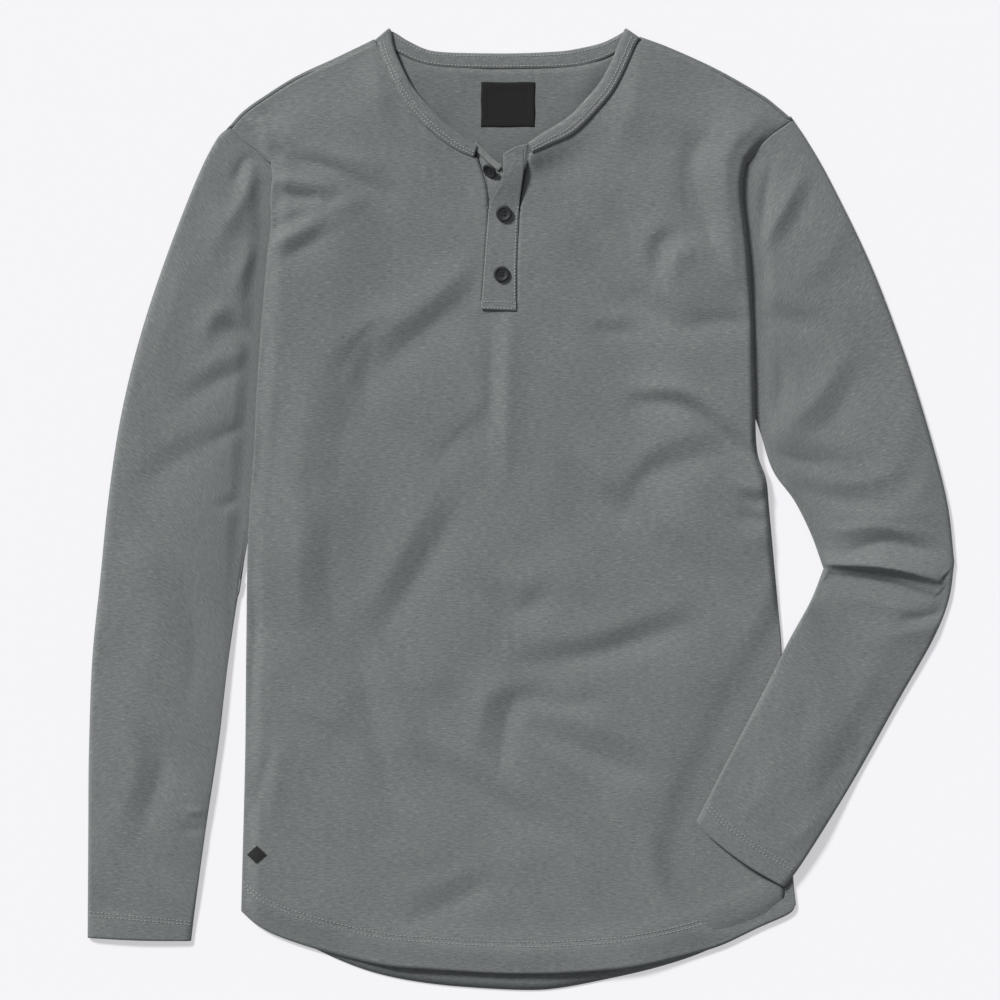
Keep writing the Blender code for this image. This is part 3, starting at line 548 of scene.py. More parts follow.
def sleeve_top(over, level, hem_rows):
    """Height of a sleeve's upper layer in its middle, with its creases and the step of its hem."""
    x, y = over[..., 0], over[..., 1]
    away = from_ends(over)
    width = np.linalg.norm(over[:, -1] - over[:, 0], axis=1)[:, None]
    crown = np.sin(math.pi * np.clip(0.1 + 0.8 * away / width, 0, 0.5))
    # Where the front lies on the sleeve, the sleeve is flat.
    beside = np.maximum(side_x(LEFT_SIDE, y) - x, x - side_x(RIGHT_SIDE, y))
    free = np.maximum(smooth((beside - 6) / 12), smooth(level / FOREARM_BASE))
    folds = CREASE * crease_height(SLEEVE_CREASES, x, y) + slack(x, y, 0.6)
    relief = SLEEVE_LOFT * crown + folds * smooth(away / 9 + 0.25)
    row = np.arange(len(over))[:, None]
    head = smooth((len(over) - 1 - row) / 14)
    cuff = smooth(row / 30) * 0.6 + 0.4
    top = np.maximum(SLEEVE_HEIGHT + free * relief * (0.25 + 0.75 * head) * cuff, LEAST_TOP)
    # The hem at the cuff is a second layer, so it stands a little higher.
    hem = 0.45 * (1 - smooth((row - hem_rows) / 1.5))
    groove = 0.35 * np.exp(-((row - hem_rows) / 1.2) ** 2)
    return top + (hem - groove) * smooth(away / 6)


def make_sleeve(name, over, under, level_at, hem_rows):
    """A flattened tube: the upper layer's grid, and a coarser grid of the same rows beneath it."""
    level = level_at(over[..., 0], over[..., 1])
    width = np.linalg.norm(over[:, -1] - over[:, 0], axis=1)[:, None]
    middle = SLEEVE_HEIGHT / 2
    rise = (sleeve_top(over, level, hem_rows) - middle) * round_off(from_ends(over), EDGE_ROUND)
    upper = np.dstack([over, level + middle + rise])
    floor_level = level_at(under[..., 0], under[..., 1])
    lower = np.dstack([under, floor_level + middle * (1 - round_off(from_ends(under), EDGE_ROUND))])
    points = np.concatenate([upper, lower[:, -2:0:-1], upper[:, :1]], axis=1)
    along = run_of(over[:, over.shape[1] // 2])
    steps = np.linalg.norm(np.diff(points[..., :2], axis=1), axis=2)
    round_it = np.concatenate([np.zeros((len(points), 1)), np.cumsum(steps, axis=1)], axis=1)
    lay = np.dstack([round_it - width / 2, np.broadcast_to(along[:, None], round_it.shape)])
    made = sew(name + "_tube", points, lay, SLEEVE_WALL, heather, tube=True)
    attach(made, "root")
    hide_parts(name)
    return made


def straight_plan(across, pull):
    """The left sleeve's outline, filled with rows of points from its cuff to its head."""
    cuff_to_head = crowded(260, 0.3)
    spread = crowded(across, pull)
    return patch(curve(LEFT_CUFF, spread), curve(LEFT_ARMHOLE + LEFT_HIDDEN_ARMHOLE[1:], spread),
                 curve(LEFT_SLEEVE_OUTER, cuff_to_head), curve(LEFT_SLEEVE_INNER, cuff_to_head))


def bent_plan(across, pull):
    """The right sleeve's outline in two stretches, cuff to elbow and elbow to head."""
    spread = crowded(across, pull)
    elbow = curve(ELBOW, spread)
    to_elbow, to_head = crowded(140, 0.45), crowded(150, 0.6)
    forearm = patch(curve(RIGHT_CUFF, spread), elbow,
                    curve(FOREARM_INNER, to_elbow), curve(FOREARM_OUTER, to_elbow))
    head = curve((RIGHT_ARMHOLE + RIGHT_HIDDEN_ARMHOLE[1:])[::-1], spread)
    upper = patch(elbow, head, curve(UPPER_ARM_INNER, to_head), curve(UPPER_ARM_OUTER, to_head))
    return np.concatenate([forearm, upper[1:]])


def floor_level_at(x, y):
    return np.zeros_like(x)


UPPER_GRID, LOWER_GRID = (72, 0.8), (22, 0.3)  # columns, and how much they crowd at the edges
sleeve_left = make_sleeve("sleeve_left", straight_plan(*UPPER_GRID), straight_plan(*LOWER_GRID),
                          floor_level_at, LEFT_HEM_ROWS)
sleeve_right = make_sleeve("sleeve_right", bent_plan(*UPPER_GRID), bent_plan(*LOWER_GRID),
                           forearm_level, RIGHT_HEM_ROWS)

# ---------------------------------------------------------------------------------------------
# Front panel. One piece of jersey over the back and the sleeves' heads, its sides turned under,
# with a narrow cut-out down from the neck for the placket. The hem is turned up and coverstitched.
FRONT_WALL = 0.9
SEAM_GAP = 0.25
ROLL_INSET = 1.3
TURN_UNDER = 7.0
SLEEVE_LIFT = 3.6  # the body's side is raised this much over a sleeve
FRONT_LOFT = 3.6
PLACKET_FOOT = 163.0
PLACKET_MIDDLE = -15.0
NECK_RISE = 6.2
LEFT_NECK_RISE = [(0.0, 0.12), (0.3, 0.85), (0.65, 0.8), (1.0, 0.3)]
RIGHT_NECK_RISE = [(0.0, 0.12), (0.3, 0.22), (0.55, 0.4), (0.8, 0.95), (1.0, 1.42)]
HEM_DEPTH = 22.0
HEM_LIFT = 4.2  # how far the hem's middle stands off the tail
MIDDLE_COLUMNS = 12
SIDE_ROWS, ARMHOLE_ROWS = 44, 22
LOW_ROWS, HIGH_ROWS = 156, SIDE_ROWS + ARMHOLE_ROWS
SEWN_DEPTH = 1.9
SEWN_INSET = 0.5
LEFT_CORNER = (3.0, -0.6)
RIGHT_CORNER = (-3.2, -1.0)
HEM_LEFT = [(-218.4, -313.6), (-205.9, -324.5), (-188.0, -333.8), (-152.1, -345.5), (-106.9, -355.7),
            (-71.0, -358.8), (-31.0, -361.3)]
HEM_MIDDLE = [(-31.0, -361.3), (-17.0, -362.0), (-3.0, -362.3)]
HEM_RIGHT = [(-3.0, -362.3), (30.4, -361.9), (74.9, -358.8), (104.5, -354.1), (134.2, -347.1),
             (156.8, -340.1), (184.9, -326.8), (209.0, -315.9), (214.5, -308.9)]
BELOW_PLACKET_LEFT = [(-31.0, -361.3), (-31.0, -100.0), (-30.0, PLACKET_FOOT)]
BELOW_PLACKET_RIGHT = [(-3.0, -362.3), (-3.0, -100.0), (-4.0, PLACKET_FOOT)]
PLACKET_LEFT = [(-30.0, PLACKET_FOOT), (-27.6, 194.2), (-25.4, 229.3), (-27.3, 252.7), (-34.6, 275.2)]
PLACKET_RIGHT = [(-4.0, PLACKET_FOOT), (-3.0, 193.4), (-1.2, 227.0), (1.4, 251.9), (6.6, 278.6)]
BAND_LEFT = [
    (-99.8, 359.6, -109.2, 355.7, 3.5), (-93.6, 344.8, -103.0, 340.9, 3.5), (-85.8, 329.9, -95.2, 324.5, 3.4),
    (-74.1, 315.1, -83.5, 308.1, 3.2), (-59.3, 300.3, -66.3, 291.7, 3.0), (-44.5, 288.6, -50.7, 280.8, 2.8),
    (-34.2, 282.4, -36.6, 274.6, 2.8)]
BAND_RIGHT = [
    (74.9, 358.0, 85.0, 354.1, 3.5), (68.6, 344.0, 78.8, 340.1, 3.5), (60.8, 330.7, 71.0, 326.0, 3.5),
    (50.7, 319.0, 61.6, 314.3, 3.8), (39.8, 307.3, 48.4, 300.3, 4.6), (30.4, 300.3, 38.2, 291.7, 5.6),
    (18.7, 293.3, 23.4, 284.7, 6.8), (5.6, 284.4, 8.4, 277.9, 7.8)]
# Each side of the neck: its line, its rise, and how wide that is at the shoulder and the placket.
NECK_SIDES = ((BAND_LEFT, LEFT_NECK_RISE, (26.0, 26.0)), (BAND_RIGHT, RIGHT_NECK_RISE, (24.0, 13.0)))
LEFT_RAISE = [(-95.0, 0.0), (-30.0, 1.0), (258.0, 1.0), (272.0, 0.7), (280.0, 0.3), (298.0, 0.2)]
RIGHT_RAISE = [(-50.0, 0.0), (20.0, 1.0), (260.0, 1.0), (273.0, 0.7), (283.0, 0.3), (303.0, 0.2)]
BODY_CREASES = [
    # Left chest, below the shoulder.
    ((-180, 273), (-148, 266), (-108, 246), 4, 10, -2.1),
    ((-176, 282), (-144, 278), (-110, 262), 9, 6, 1.3),
    ((-196, 250), (-176, 244), (-156, 243), 3.2, 7, -2.3),
    ((-196, 257), (-174, 255), (-154, 252), 4, 4, 1.1),
    ((-216, 309), (-203, 300), (-195, 271), 2.3, 8, 1.7),
    ((-221, 299), (-212, 294), (-203, 281), 6, 3, -1.3),
    ((-208, 318), (-199, 311), (-189, 302), 4, 6, -1.3), ((-194, 318), (-184, 300), (-176, 286), 9, 9, 0.5),
    ((-152, 238), (-146, 242), (-140, 244), 4, 6, -1.1), ((-196, 204), (-178, 213), (-156, 225), 6, 6, 1.5),
    ((-186, 195), (-172, 202), (-152, 214), 5, 8, -1.3),
    ((-196, 217), (-184, 223), (-166, 230), 4, 5, -1.0), ((-150, 232), (-134, 238), (-116, 244), 9, 8, 0.7),
    # From the placket down to the left, broad.
    ((-42, 190), (-74, 160), (-116, 132), 18, 13, 1.7), ((-34, 174), (-70, 142), (-112, 108), 13, 18, -1.7),
    ((-116, 128), (-122, 108), (-121, 88), 8, 9, -1.2), ((-112, 144), (-128, 128), (-142, 106), 9, 8, -1.1),
    ((-102, 152), (-118, 146), (-134, 130), 8, 9, 0.8),
    # Beside the collar and below the placket.
    ((-92, 306), (-66, 284), (-40, 252), 16, 14, 1.0), ((-76, 286), (-52, 262), (-36, 236), 14, 12, -1.0),
    ((-24, 140), (-23, 100), (-26, 64), 7, 8, -1.1), ((-10, 152), (-11, 90), (-13, 22), 8, 11, 1.5),
    ((-34, 78), (-48, 58), (-66, 36), 11, 13, -1.3), ((-26, 92), (-38, 74), (-58, 56), 10, 9, 0.9),
    # Down the left side.
    ((-134, 84), (-140, 50), (-146, 10), 18, 14, -0.9), ((-164, 96), (-170, 50), (-176, -10), 14, 12, 0.9),
    ((-190, 84), (-196, 20), (-202, -40), 9, 11, -1.1),
    ((-150, -14), (-150, -54), (-144, -96), 13, 15, -1.2),
    ((-168, 0), (-172, -40), (-172, -84), 12, 11, 1.2),
    ((-205, -70), (-209, -110), (-213, -150), 8, 9, -1.2),
    ((-128, -96), (-120, -150), (-98, -238), 12, 14, -1.2),
    ((-112, -110), (-98, -150), (-80, -196), 14, 12, 0.8),
    ((-168, -160), (-152, -172), (-132, -186), 8, 9, -1.0),
    ((-197, -196), (-203, -214), (-206, -232), 6, 6, -1.3),
    ((-186, -186), (-192, -206), (-190, -230), 8, 8, 1.0),
    ((-180, -150), (-160, -160), (-140, -172), 9, 8, 0.7),
    # Left of the middle.
    ((-50, 0), (-74, -42), (-108, -94), 13, 15, -1.9), ((-68, 10), (-92, -32), (-118, -74), 15, 12, 1.2),
    ((-66, -138), (-40, -162), (-18, -192), 14, 12, -1.1),
    ((-74, -194), (-42, -214), (18, -250), 10, 12, -1.5),
    ((-66, -178), (-34, -198), (14, -232), 10, 10, 0.9),
    ((-88, -322), (-52, -306), (-26, -292), 10, 12, -1.2),
    ((-94, -300), (-60, -290), (-30, -276), 11, 9, 0.7),
    ((-108, -262), (-84, -272), (-56, -268), 14, 14, 0.6),
    # Middle.
    ((-22, -60), (-4, -80), (20, -66), 9, 10, -1.3), ((-16, -48), (0, -60), (20, -50), 9, 8, 0.7),
    ((2, -120), (54, -114), (130, -90), 11, 11, -1.9), ((8, -104), (56, -98), (126, -74), 13, 9, 1.1),
    ((14, -146), (-8, -154), (-16, -202), 9, 11, -1.7), ((4, -136), (-26, -146), (-34, -184), 12, 9, 1.1),
    ((12, -150), (36, -152), (62, -149), 7, 8, -1.0), ((14, -168), (44, -186), (98, -208), 8, 10, -1.6),
    ((22, -158), (54, -168), (96, -186), 9, 7, 1.0), ((12, -196), (60, -234), (106, -312), 14, 15, -1.3),
    ((28, -192), (74, -226), (116, -288), 15, 13, 0.9),
    # Right of the middle, up from the waist.
    ((36, 40), (60, 8), (84, -10), 12, 11, -1.6), ((48, 50), (72, 22), (92, 8), 12, 9, 1.1),
    ((78, -6), (100, 28), (164, 46), 11, 12, -1.5), ((84, 24), (108, 50), (160, 64), 12, 9, 0.9),
    ((90, 84), (132, 78), (184, 34), 5.5, 9, -2.4), ((92, 94), (134, 90), (182, 52), 9, 6, 1.7),
    ((104, -18), (132, -42), (168, -82), 11, 12, -1.3), ((118, -8), (144, -30), (172, -62), 11, 9, 0.8),
    ((58, 140), (72, 138), (86, 136), 5, 7, -1.0), ((62, 150), (76, 149), (90, 147), 7, 5, 0.6),
    # Right chest.
    ((54, 204), (92, 158), (130, 140), 15, 12, -1.8), ((126, 140), (148, 146), (176, 146), 8, 10, -1.4),
    ((64, 216), (100, 174), (136, 156), 15, 11, 1.1), ((106, 182), (108, 206), (122, 214), 6, 8, -1.5),
    ((116, 178), (122, 196), (136, 204), 9, 8, 1.2), ((98, 188), (98, 210), (112, 224), 8, 6, 0.7),
    ((186, 304), (160, 274), (164, 214), 15, 9, 2.6), ((132, 286), (134, 254), (146, 214), 10, 8, -1.2),
    ((162, 214), (166, 190), (170, 176), 8, 8, 1.3), ((146, 296), (132, 262), (146, 214), 12, 8, -1.9),
    ((128, 240), (144, 222), (152, 202), 5, 6, -1.3), ((98, 306), (106, 268), (124, 234), 18, 16, -0.9),
    ((160, 176), (170, 166), (176, 164), 5, 5, -0.8),
    # At the right edge.
    ((168, 22), (180, 16), (192, 16), 5, 4, 1.4), ((172, 10), (182, 6), (192, 5), 3.5, 4, -1.4),
    ((170, -4), (182, -8), (194, -8), 4, 4, -1.3), ((172, -18), (184, -24), (196, -26), 7, 6, 0.9),
    # Beside the forearm.
    ((190, -108), (158, -172), (118, -236), 20, 16, -1.7)]


def neck_extra(share, profile):
    """How far the neckline stands off, at a share of its length down from the shoulder."""
    rise = np.array(profile)
    return NECK_RISE * np.interp(share, rise[:, 0], rise[:, 1])


def neck_rise(x, y):
    """The neckline stands a little off the back, and the open end of the collar most of all."""
    total = np.zeros_like(x)
    for stations, profile, reach in NECK_SIDES:
        line = curve([station[2:4] for station in stations], even(30))
        for share, (px, py) in zip(even(30), line):
            wide = reach[0] + (reach[1] - reach[0]) * share
            high = neck_extra(share, profile)
            total = np.maximum(total, high * np.exp(-((x - px) ** 2 + (y - py) ** 2) / wide ** 2))
    return total


def placket_loft(y):
    """The placket rides on the front, which settles towards the neck."""
    return FRONT_LOFT * smooth((278.0 - y) / 28.0)


def raise_at(x, y):
    """How far the front is raised by the sleeves beneath its sides."""
    near_left = 1 - smooth((x - side_x(LEFT_SIDE, y) - 48) / 50)
    near_right = 1 - smooth((side_x(RIGHT_SIDE, y) - x - 48) / 50)
    left_raise = np.interp(y, *np.array(LEFT_RAISE).T)
    right_raise = np.interp(y, *np.array(RIGHT_RAISE).T)
    return SLEEVE_LIFT * (near_left * left_raise + near_right * right_raise)


def under_forearm(x, y):
    """1 where the forearm lies on the front, falling to 0 away from it."""
    cuff, run = np.array([171.0, -269.0]), np.array([99.0, 199.0])
    t = np.clip(((x - cuff[0]) * run[0] + (y - cuff[1]) * run[1]) / (run @ run), 0, 1)
    away = np.hypot(x - cuff[0] - t * run[0], y - cuff[1] - t * run[1])
    return 1 - smooth((away - 50) / 24)


def front_top(x, y, inside, sharp):
    """Height of the front's outer face. inside and sharp are 0 at its edges and 1 in its middle."""
    free = inside * (1 - under_forearm(x, y))
    placket = (1 - smooth((np.abs(x - PLACKET_MIDDLE) - 15) / 10)) * smooth((y - PLACKET_FOOT + 14) / 10)
    creases = CREASE * crease_height(BODY_CREASES, x, y) + slack(x, y, 0.7)
    creases = np.maximum(creases, -FRONT_LOFT * inside - 0.1)
    creases = creases * (1 - under_forearm(x, y)) * (1 - placket) * sharp
    return ROLL + raise_at(x, y) + free * FRONT_LOFT + creases + neck_rise(x, y)


left_corner = np.array(LEFT_SHOULDER[0]) + LEFT_CORNER
right_corner = np.array(RIGHT_SHOULDER[-1]) + RIGHT_CORNER
left_arm = inset(np.array(LEFT_ARMHOLE[::-1]), SEAM_GAP)
right_arm = inset(np.array(RIGHT_ARMHOLE[::-1]), -SEAM_GAP)
left_arm[-1], right_arm[-1] = left_corner, right_corner
up_low = crowded(LOW_ROWS, 0.4)
up_side, up_arm, up_cut = even(SIDE_ROWS), even(ARMHOLE_ROWS), even(HIGH_ROWS)
left_side = chain(curve(LEFT_SIDE_LOW, up_low), curve(LEFT_SIDE_HIGH, up_side), curve(left_arm, up_arm))
right_side = chain(curve(RIGHT_SIDE_LOW, up_low), curve(RIGHT_SIDE_HIGH, up_side), curve(right_arm, up_arm))
left_cut = chain(curve(BELOW_PLACKET_LEFT, up_low), curve(PLACKET_LEFT, up_cut))
right_cut = chain(curve(BELOW_PLACKET_RIGHT, up_low), curve(PLACKET_RIGHT, up_cut))
left_shoulder_seam = inset(np.array(LEFT_SHOULDER), SHOULDER_INSET + SEAM_GAP)
right_shoulder_seam = inset(np.array(RIGHT_SHOULDER), SHOULDER_INSET + SEAM_GAP)
left_shoulder_seam[0], right_shoulder_seam[-1] = left_corner, right_corner
left_shoulder_seam = curve(left_shoulder_seam, even(34))
right_shoulder_seam = curve(right_shoulder_seam, even(34))
left_neck = curve([left_shoulder_seam[-1]] + [station[2:4] for station in BAND_LEFT], even(44))
right_neck = curve([station[2:4] for station in BAND_RIGHT][::-1] + [right_shoulder_seam[0]], even(44))
left_top = chain(left_shoulder_seam, left_neck)
right_top = chain(right_neck, right_shoulder_seam)
left_cut[-1], right_cut[-1] = left_top[-1], right_top[0]
plan_left = patch(curve(HEM_LEFT, even(len(left_top) - 1)), left_top, left_side, left_cut)
plan_middle = patch(curve(HEM_MIDDLE, even(MIDDLE_COLUMNS)),
                    np.linspace(left_top[-1], right_top[0], MIDDLE_COLUMNS + 1), left_cut, right_cut, fade=1)
plan_right = patch(curve(HEM_RIGHT, even(len(right_top) - 1)), right_top, right_cut, right_side)
plan = np.concatenate([plan_left, plan_middle[:, 1:-1], plan_right], axis=1)
x, y = plan[..., 0], plan[..., 1]
v = np.linspace(0, 1, len(plan))[:, None]
from_left, from_right = x - x[:, :1], x[:, -1:] - x
from_side = np.minimum(from_left, from_right)
ends = smooth(v / 0.05 + 0.12)
inside = smooth(from_left / 14) * smooth(from_right / 4) * ends * smooth((1 - v) / 0.09)
sharp = smooth(from_side / 5) * ends * smooth((1 - v) / 0.022)
height = front_top(x, y, inside, sharp)
# The hem is two layers deep, down from the coverstitching.
hem_line = np.array(HEM_LEFT + HEM_MIDDLE[1:] + HEM_RIGHT[1:])
above_hem = y - np.interp(x, hem_line[:, 0], hem_line[:, 1])
height += 0.4 * (1 - smooth((above_hem - HEM_DEPTH) / 1.5)) * smooth(from_side / 12)
height -= 0.4 * np.exp(-((above_hem - HEM_DEPTH - 0.5) / 2.0) ** 2) * smooth(from_side / 12)
# Its middle stands off the tail, which drops away below it.
height += HEM_LIFT * smooth((150 - np.abs(x)) / 70) * (1 - smooth((above_hem + 6) / 46))


def turned_edge(edge, beside, level):
    """Columns of points for an edge that is turned under, from its hidden strip to its top."""
    inward = beside - edge
    inward = inward / np.linalg.norm(inward, axis=1)[:, None]
    # Along the armhole the turn is the sewn edge, pressed flat.
    sewn = smooth((np.arange(len(edge)) - LOW_ROWS - SIDE_ROWS) / 4)
    depth = ROLL + (SEWN_DEPTH - ROLL) * sewn
    reach = (ROLL_INSET + (SEWN_INSET - ROLL_INSET) * sewn)[:, None]
    columns = [np.column_stack([edge + inward * TURN_UNDER, level - depth]),
               np.column_stack([edge + inward * TURN_UNDER / 2, level - depth])]
    for turn in np.radians([-90, -60, -30, 0, 30, 60, 90]):
        side = reach * (1 - math.cos(turn))
        rise = level - depth / 2 + depth / 2 * math.sin(turn)
        columns.append(np.column_stack([edge + inward * side, rise]))
    return np.stack(columns, axis=1)


left_edge = turned_edge(plan[:, 0], plan[:, 4], height[:, 0])
right_edge = turned_edge(plan[:, -1], plan[:, -5], height[:, -1])
middle = np.dstack([plan, height])[:, 1:-1]
points = np.concatenate([left_edge, middle, right_edge[:, ::-1]], axis=1)
lay = points[..., :2].copy()
first_gap = left_edge.shape[1] - 1 + len(left_top) - 1
gone = np.zeros((len(points) - 1, points.shape[1] - 1), bool)
gone[LOW_ROWS:, first_gap:first_gap + MIDDLE_COLUMNS] = True
front = sew("front_panel", points, lay, FRONT_WALL, heather, gone=gone)
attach(front, "root")
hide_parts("front")

# ---------------------------------------------------------------------------------------------
# Seam allowances. The sewn edges of front, back and sleeves are jersey too, pressed flat inside,
# and they close the fine grooves of the shoulder and armhole seams.
ALLOWANCE = 5.0
ALLOWANCE_WALL = 0.5
ALLOWANCE_DROP = FRONT_WALL - 0.2
ALLOWANCE_SHIFT = 1.2


def allowance(name, line, shift):
    """A sewn edge, pressed flat beneath the line where it is sewn."""
    on_edge = np.zeros(len(line))
    levels = front_top(line[:, 0], line[:, 1], on_edge, on_edge) - ALLOWANCE_DROP
    sides = [inset(line, shift + ALLOWANCE * share) for share in (-0.5, -0.2, 0.2, 0.5)]
    points = np.stack([np.column_stack([side, levels]) for side in sides], axis=1)
    made = sew(name, points, points[..., :2], ALLOWANCE_WALL, heather)
    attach(made, "root")
    return made


def run_on(line, foot, head):
    """A line with its first end and its last moved on by these lengths."""
    first = line[0] + (line[0] - line[1]) / np.linalg.norm(line[0] - line[1]) * foot
    last = line[-1] + (line[-1] - line[-2]) / np.linalg.norm(line[-1] - line[-2]) * head
    return np.vstack([first, line, last])


left_arm_line = run_on(curve(LEFT_ARMHOLE[::-1], even(30)), 5.0, -0.4)
right_arm_line = run_on(curve(RIGHT_ARMHOLE[::-1], even(30)), 5.0, -0.4)
left_shoulder_line = run_on(left_shoulder_seam, ALLOWANCE_SHIFT, 0.0)[:-1]
right_shoulder_line = run_on(right_shoulder_seam, 0.0, ALLOWANCE_SHIFT)[1:]
allowances = [
    allowance("left_armhole_allowance", left_arm_line, ALLOWANCE_SHIFT),
    allowance("right_armhole_allowance", right_arm_line, -ALLOWANCE_SHIFT),
    allowance("left_shoulder_allowance", left_shoulder_line, ALLOWANCE_SHIFT),
    allowance("right_shoulder_allowance", right_shoulder_line, ALLOWANCE_SHIFT)]

# ---------------------------------------------------------------------------------------------
# Neckband. A doubled strip of the same jersey, sewn round the neck and folded over at the
# shoulders, with its free edge rounded and two rows of topstitching along it.
BAND_WALL = 1.9
BAND_CLOTH = 0.7
BAND_LEVEL = 2.75
LEFT_STEPS, BACK_STEPS, RIGHT_STEPS = 64, 84, 70
LEFT_FOLD = ((-103.7, 375.2), (-113.1, 367.2))
RIGHT_FOLD = ((82.4, 375.2), (91.6, 368.9))
# Across the band, each share of its width with its height: flat at the seam, a slight crown, and a
# round free edge. Below them, each one's place on the flat strip.
BAND_SECTION = [(0.0, 0.1), (0.0, 0.7), (0.05, 0.93), (0.14, 1.0), (0.3, 1.07), (0.5, 1.1), (0.7, 1.07),
                (0.84, 1.0), (0.93, 0.86), (0.98, 0.66), (1.0, 0.5), (0.98, 0.34), (0.93, 0.14), (0.84, 0.0),
                (0.5, 0.0), (0.14, 0.0), (0.0, 0.1)]
BAND_ROUND = [0, 1.2, 1.8, 2.7, 4.3, 6.3, 8.3, 9.7, 10.7, 11.3, 11.7, 12.1, 12.9, 14, 17, 21, 22.5]


def band_turn(free, seam, front_z, back_z):
    """The neckband's fold over the shoulder, from the front down to the back."""
    free, seam = np.array(free), np.array(seam)
    line = free - seam
    out = np.array([line[1], -line[0]]) / np.linalg.norm(line)
    if out[1] < 0:
        out = -out
    stations = []
    for turn in np.radians([90, 54, 18, -18, -54, -90]):
        inward = 1.1 + 1.5 * (1 - math.cos(turn))
        level = (front_z + back_z) / 2 + (front_z - back_z) / 2 * math.sin(turn)
        stations.append((*(free - inward * out), *(seam - inward * out), level))
    return stations


left_turn = band_turn(*LEFT_FOLD, 4.0, 1.0)
right_turn = band_turn(*RIGHT_FOLD, 4.0, 1.0)
down_left = curve(BAND_LEFT[::-1] + left_turn[:1], even(LEFT_STEPS))
round_back = curve(left_turn[-1:] + BAND_BACK + right_turn[-1:], even(BACK_STEPS))
down_right = curve(right_turn[:1] + BAND_RIGHT, even(RIGHT_STEPS))
stations = chain(down_left, np.array(left_turn), round_back, np.array(right_turn[::-1]), down_right)
free, seam, level = stations[:, 0:2], stations[:, 2:4], stations[:, 4]
# At the folds the seam edge reaches a little further in.
turn_steps = len(left_turn) - 1
number = np.arange(len(stations))
left_fold = LEFT_STEPS + 3
right_fold = left_fold + turn_steps + BACK_STEPS
near_fold = np.exp(-((number - left_fold) / 4.0) ** 2) + np.exp(-((number - right_fold) / 4.0) ** 2)
outward = (free - seam) / np.linalg.norm(free - seam, axis=1)[:, None]
seam = seam - outward * (0.3 + 1.3 * near_fold[:, None])
# On the front it stands up with the neckline: that rise is measured down from each shoulder.
left_part = slice(0, LEFT_STEPS + 1)
back_part = slice(LEFT_STEPS + turn_steps + 1, LEFT_STEPS + turn_steps + BACK_STEPS + 2)
right_part = slice(-RIGHT_STEPS - 1, None)
level[left_part] = BAND_LEVEL + neck_extra(1 - even(LEFT_STEPS), LEFT_NECK_RISE)
level[right_part] = BAND_LEVEL + neck_extra(even(RIGHT_STEPS), RIGHT_NECK_RISE)
rings = []
for share, rise in BAND_SECTION:
    spot = seam + share * (free - seam)
    rings.append(np.column_stack([spot, level + BAND_WALL * (rise - 0.5)]))
points = np.stack(rings, axis=1)
along = run_of((free + seam) / 2)
grid = points.shape[:2]
lay = np.dstack([np.broadcast_to(along[:, None], grid), np.broadcast_to(BAND_ROUND, grid)])
band = sew("neckband_strip", points[:, ::-1], lay[:, ::-1], BAND_CLOTH, heather, tube=True)
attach(band, "root")
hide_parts("neckband")

# ---------------------------------------------------------------------------------------------
# Placket. Two strips of interfaced jersey fill the front's cut-out: the button side lies beneath,
# and the buttonhole side over it is buttoned below and stands open and curled at the top.
PLACKET_WALL = 1.0
# Rows of each strip from the top down: left edge, middle and right edge.
UNDER_ROWS = [
    ((-37.0, 284.6, 2.9), (-23.4, 271.4, 5.4), (-14.8, 264.4, 7.0)),
    ((-33.4, 271.0, 2.2), (-21.8, 260.5, 4.2), (-11.7, 251.2, 5.4)),
    ((-27.4, 252.7, 2.4), (-18.7, 246.5, 2.5), (-7.0, 241.0, 2.8)),
    ((-26.2, 229.3, 2.4), (-16.4, 229.3, 2.4), (-4.7, 229.3, 2.4)),
    ((-28.4, 194.2, 2.4), (-16.4, 194.2, 2.4), (-5.5, 194.2, 2.4)),
    ((-30.0, 164.0, 2.4), (-18.7, 164.0, 2.4), (-6.6, 164.0, 2.4))]
OVER_ROWS = [
    ((-14.0, 276.1, 13.4), (-4.7, 281.6, 13.2), (5.6, 284.2, 12.6)),
    ((-14.0, 264.4, 12.0), (-5.5, 266.0, 11.8), (3.0, 267.5, 11.2)),
    ((-16.4, 251.9, 8.6), (-7.8, 251.9, 8.2), (0.6, 251.9, 7.4)),
    ((-23.4, 240.2, 5.2), (-10.9, 238.7, 5.0), (-1.2, 237.1, 4.6)),
    ((-25.6, 229.3, 4.0), (-13.3, 228.5, 4.0), (-1.6, 227.0, 3.9)),
    ((-28.4, 194.2, 3.9), (-15.6, 193.4, 3.9), (-3.2, 193.4, 3.9)),
    ((-31.2, 155.6, 4.3), (-17.2, 155.0, 4.3), (-3.4, 154.4, 4.3))]
BINDING_WALL = 0.6
BINDING_LINE = [(-36.0, 285.4, 4.4), (-24.6, 273.4, 6.3), (-15.6, 265.8, 8.0)]
BINDING_SECTION = [(-3.4, -1.0), (-3.0, -0.4), (-2.0, -0.1), (-1.0, -0.35), (-0.6, -0.45), (0.0, 0.0),
                   (0.8, 0.1), (1.3, -0.3), (1.4, -0.9)]
facing = jersey("placket_jersey")


def net(rows, down, across):
    """A fine smooth grid through a coarse one, its rows from the bottom up."""
    coarse = np.array(rows[::-1], float)
    columns = [curve(coarse[:, k], even(down)) for k in range(coarse.shape[1])]
    return np.stack([curve([column[j] for column in columns], crowded(across, 0.5)) for j in range(down + 1)])


def flat_lay(points):
    """Each point's place on the flat cloth, measured along and across the strip."""
    across = np.linalg.norm(np.diff(points, axis=1), axis=2)
    down = np.linalg.norm(np.diff(points, axis=0), axis=2)
    x = np.concatenate([np.zeros((len(points), 1)), np.cumsum(across, axis=1)], axis=1)
    y = np.concatenate([np.zeros((1, points.shape[1])), np.cumsum(down, axis=0)], axis=0)
    return np.dstack([x, y])


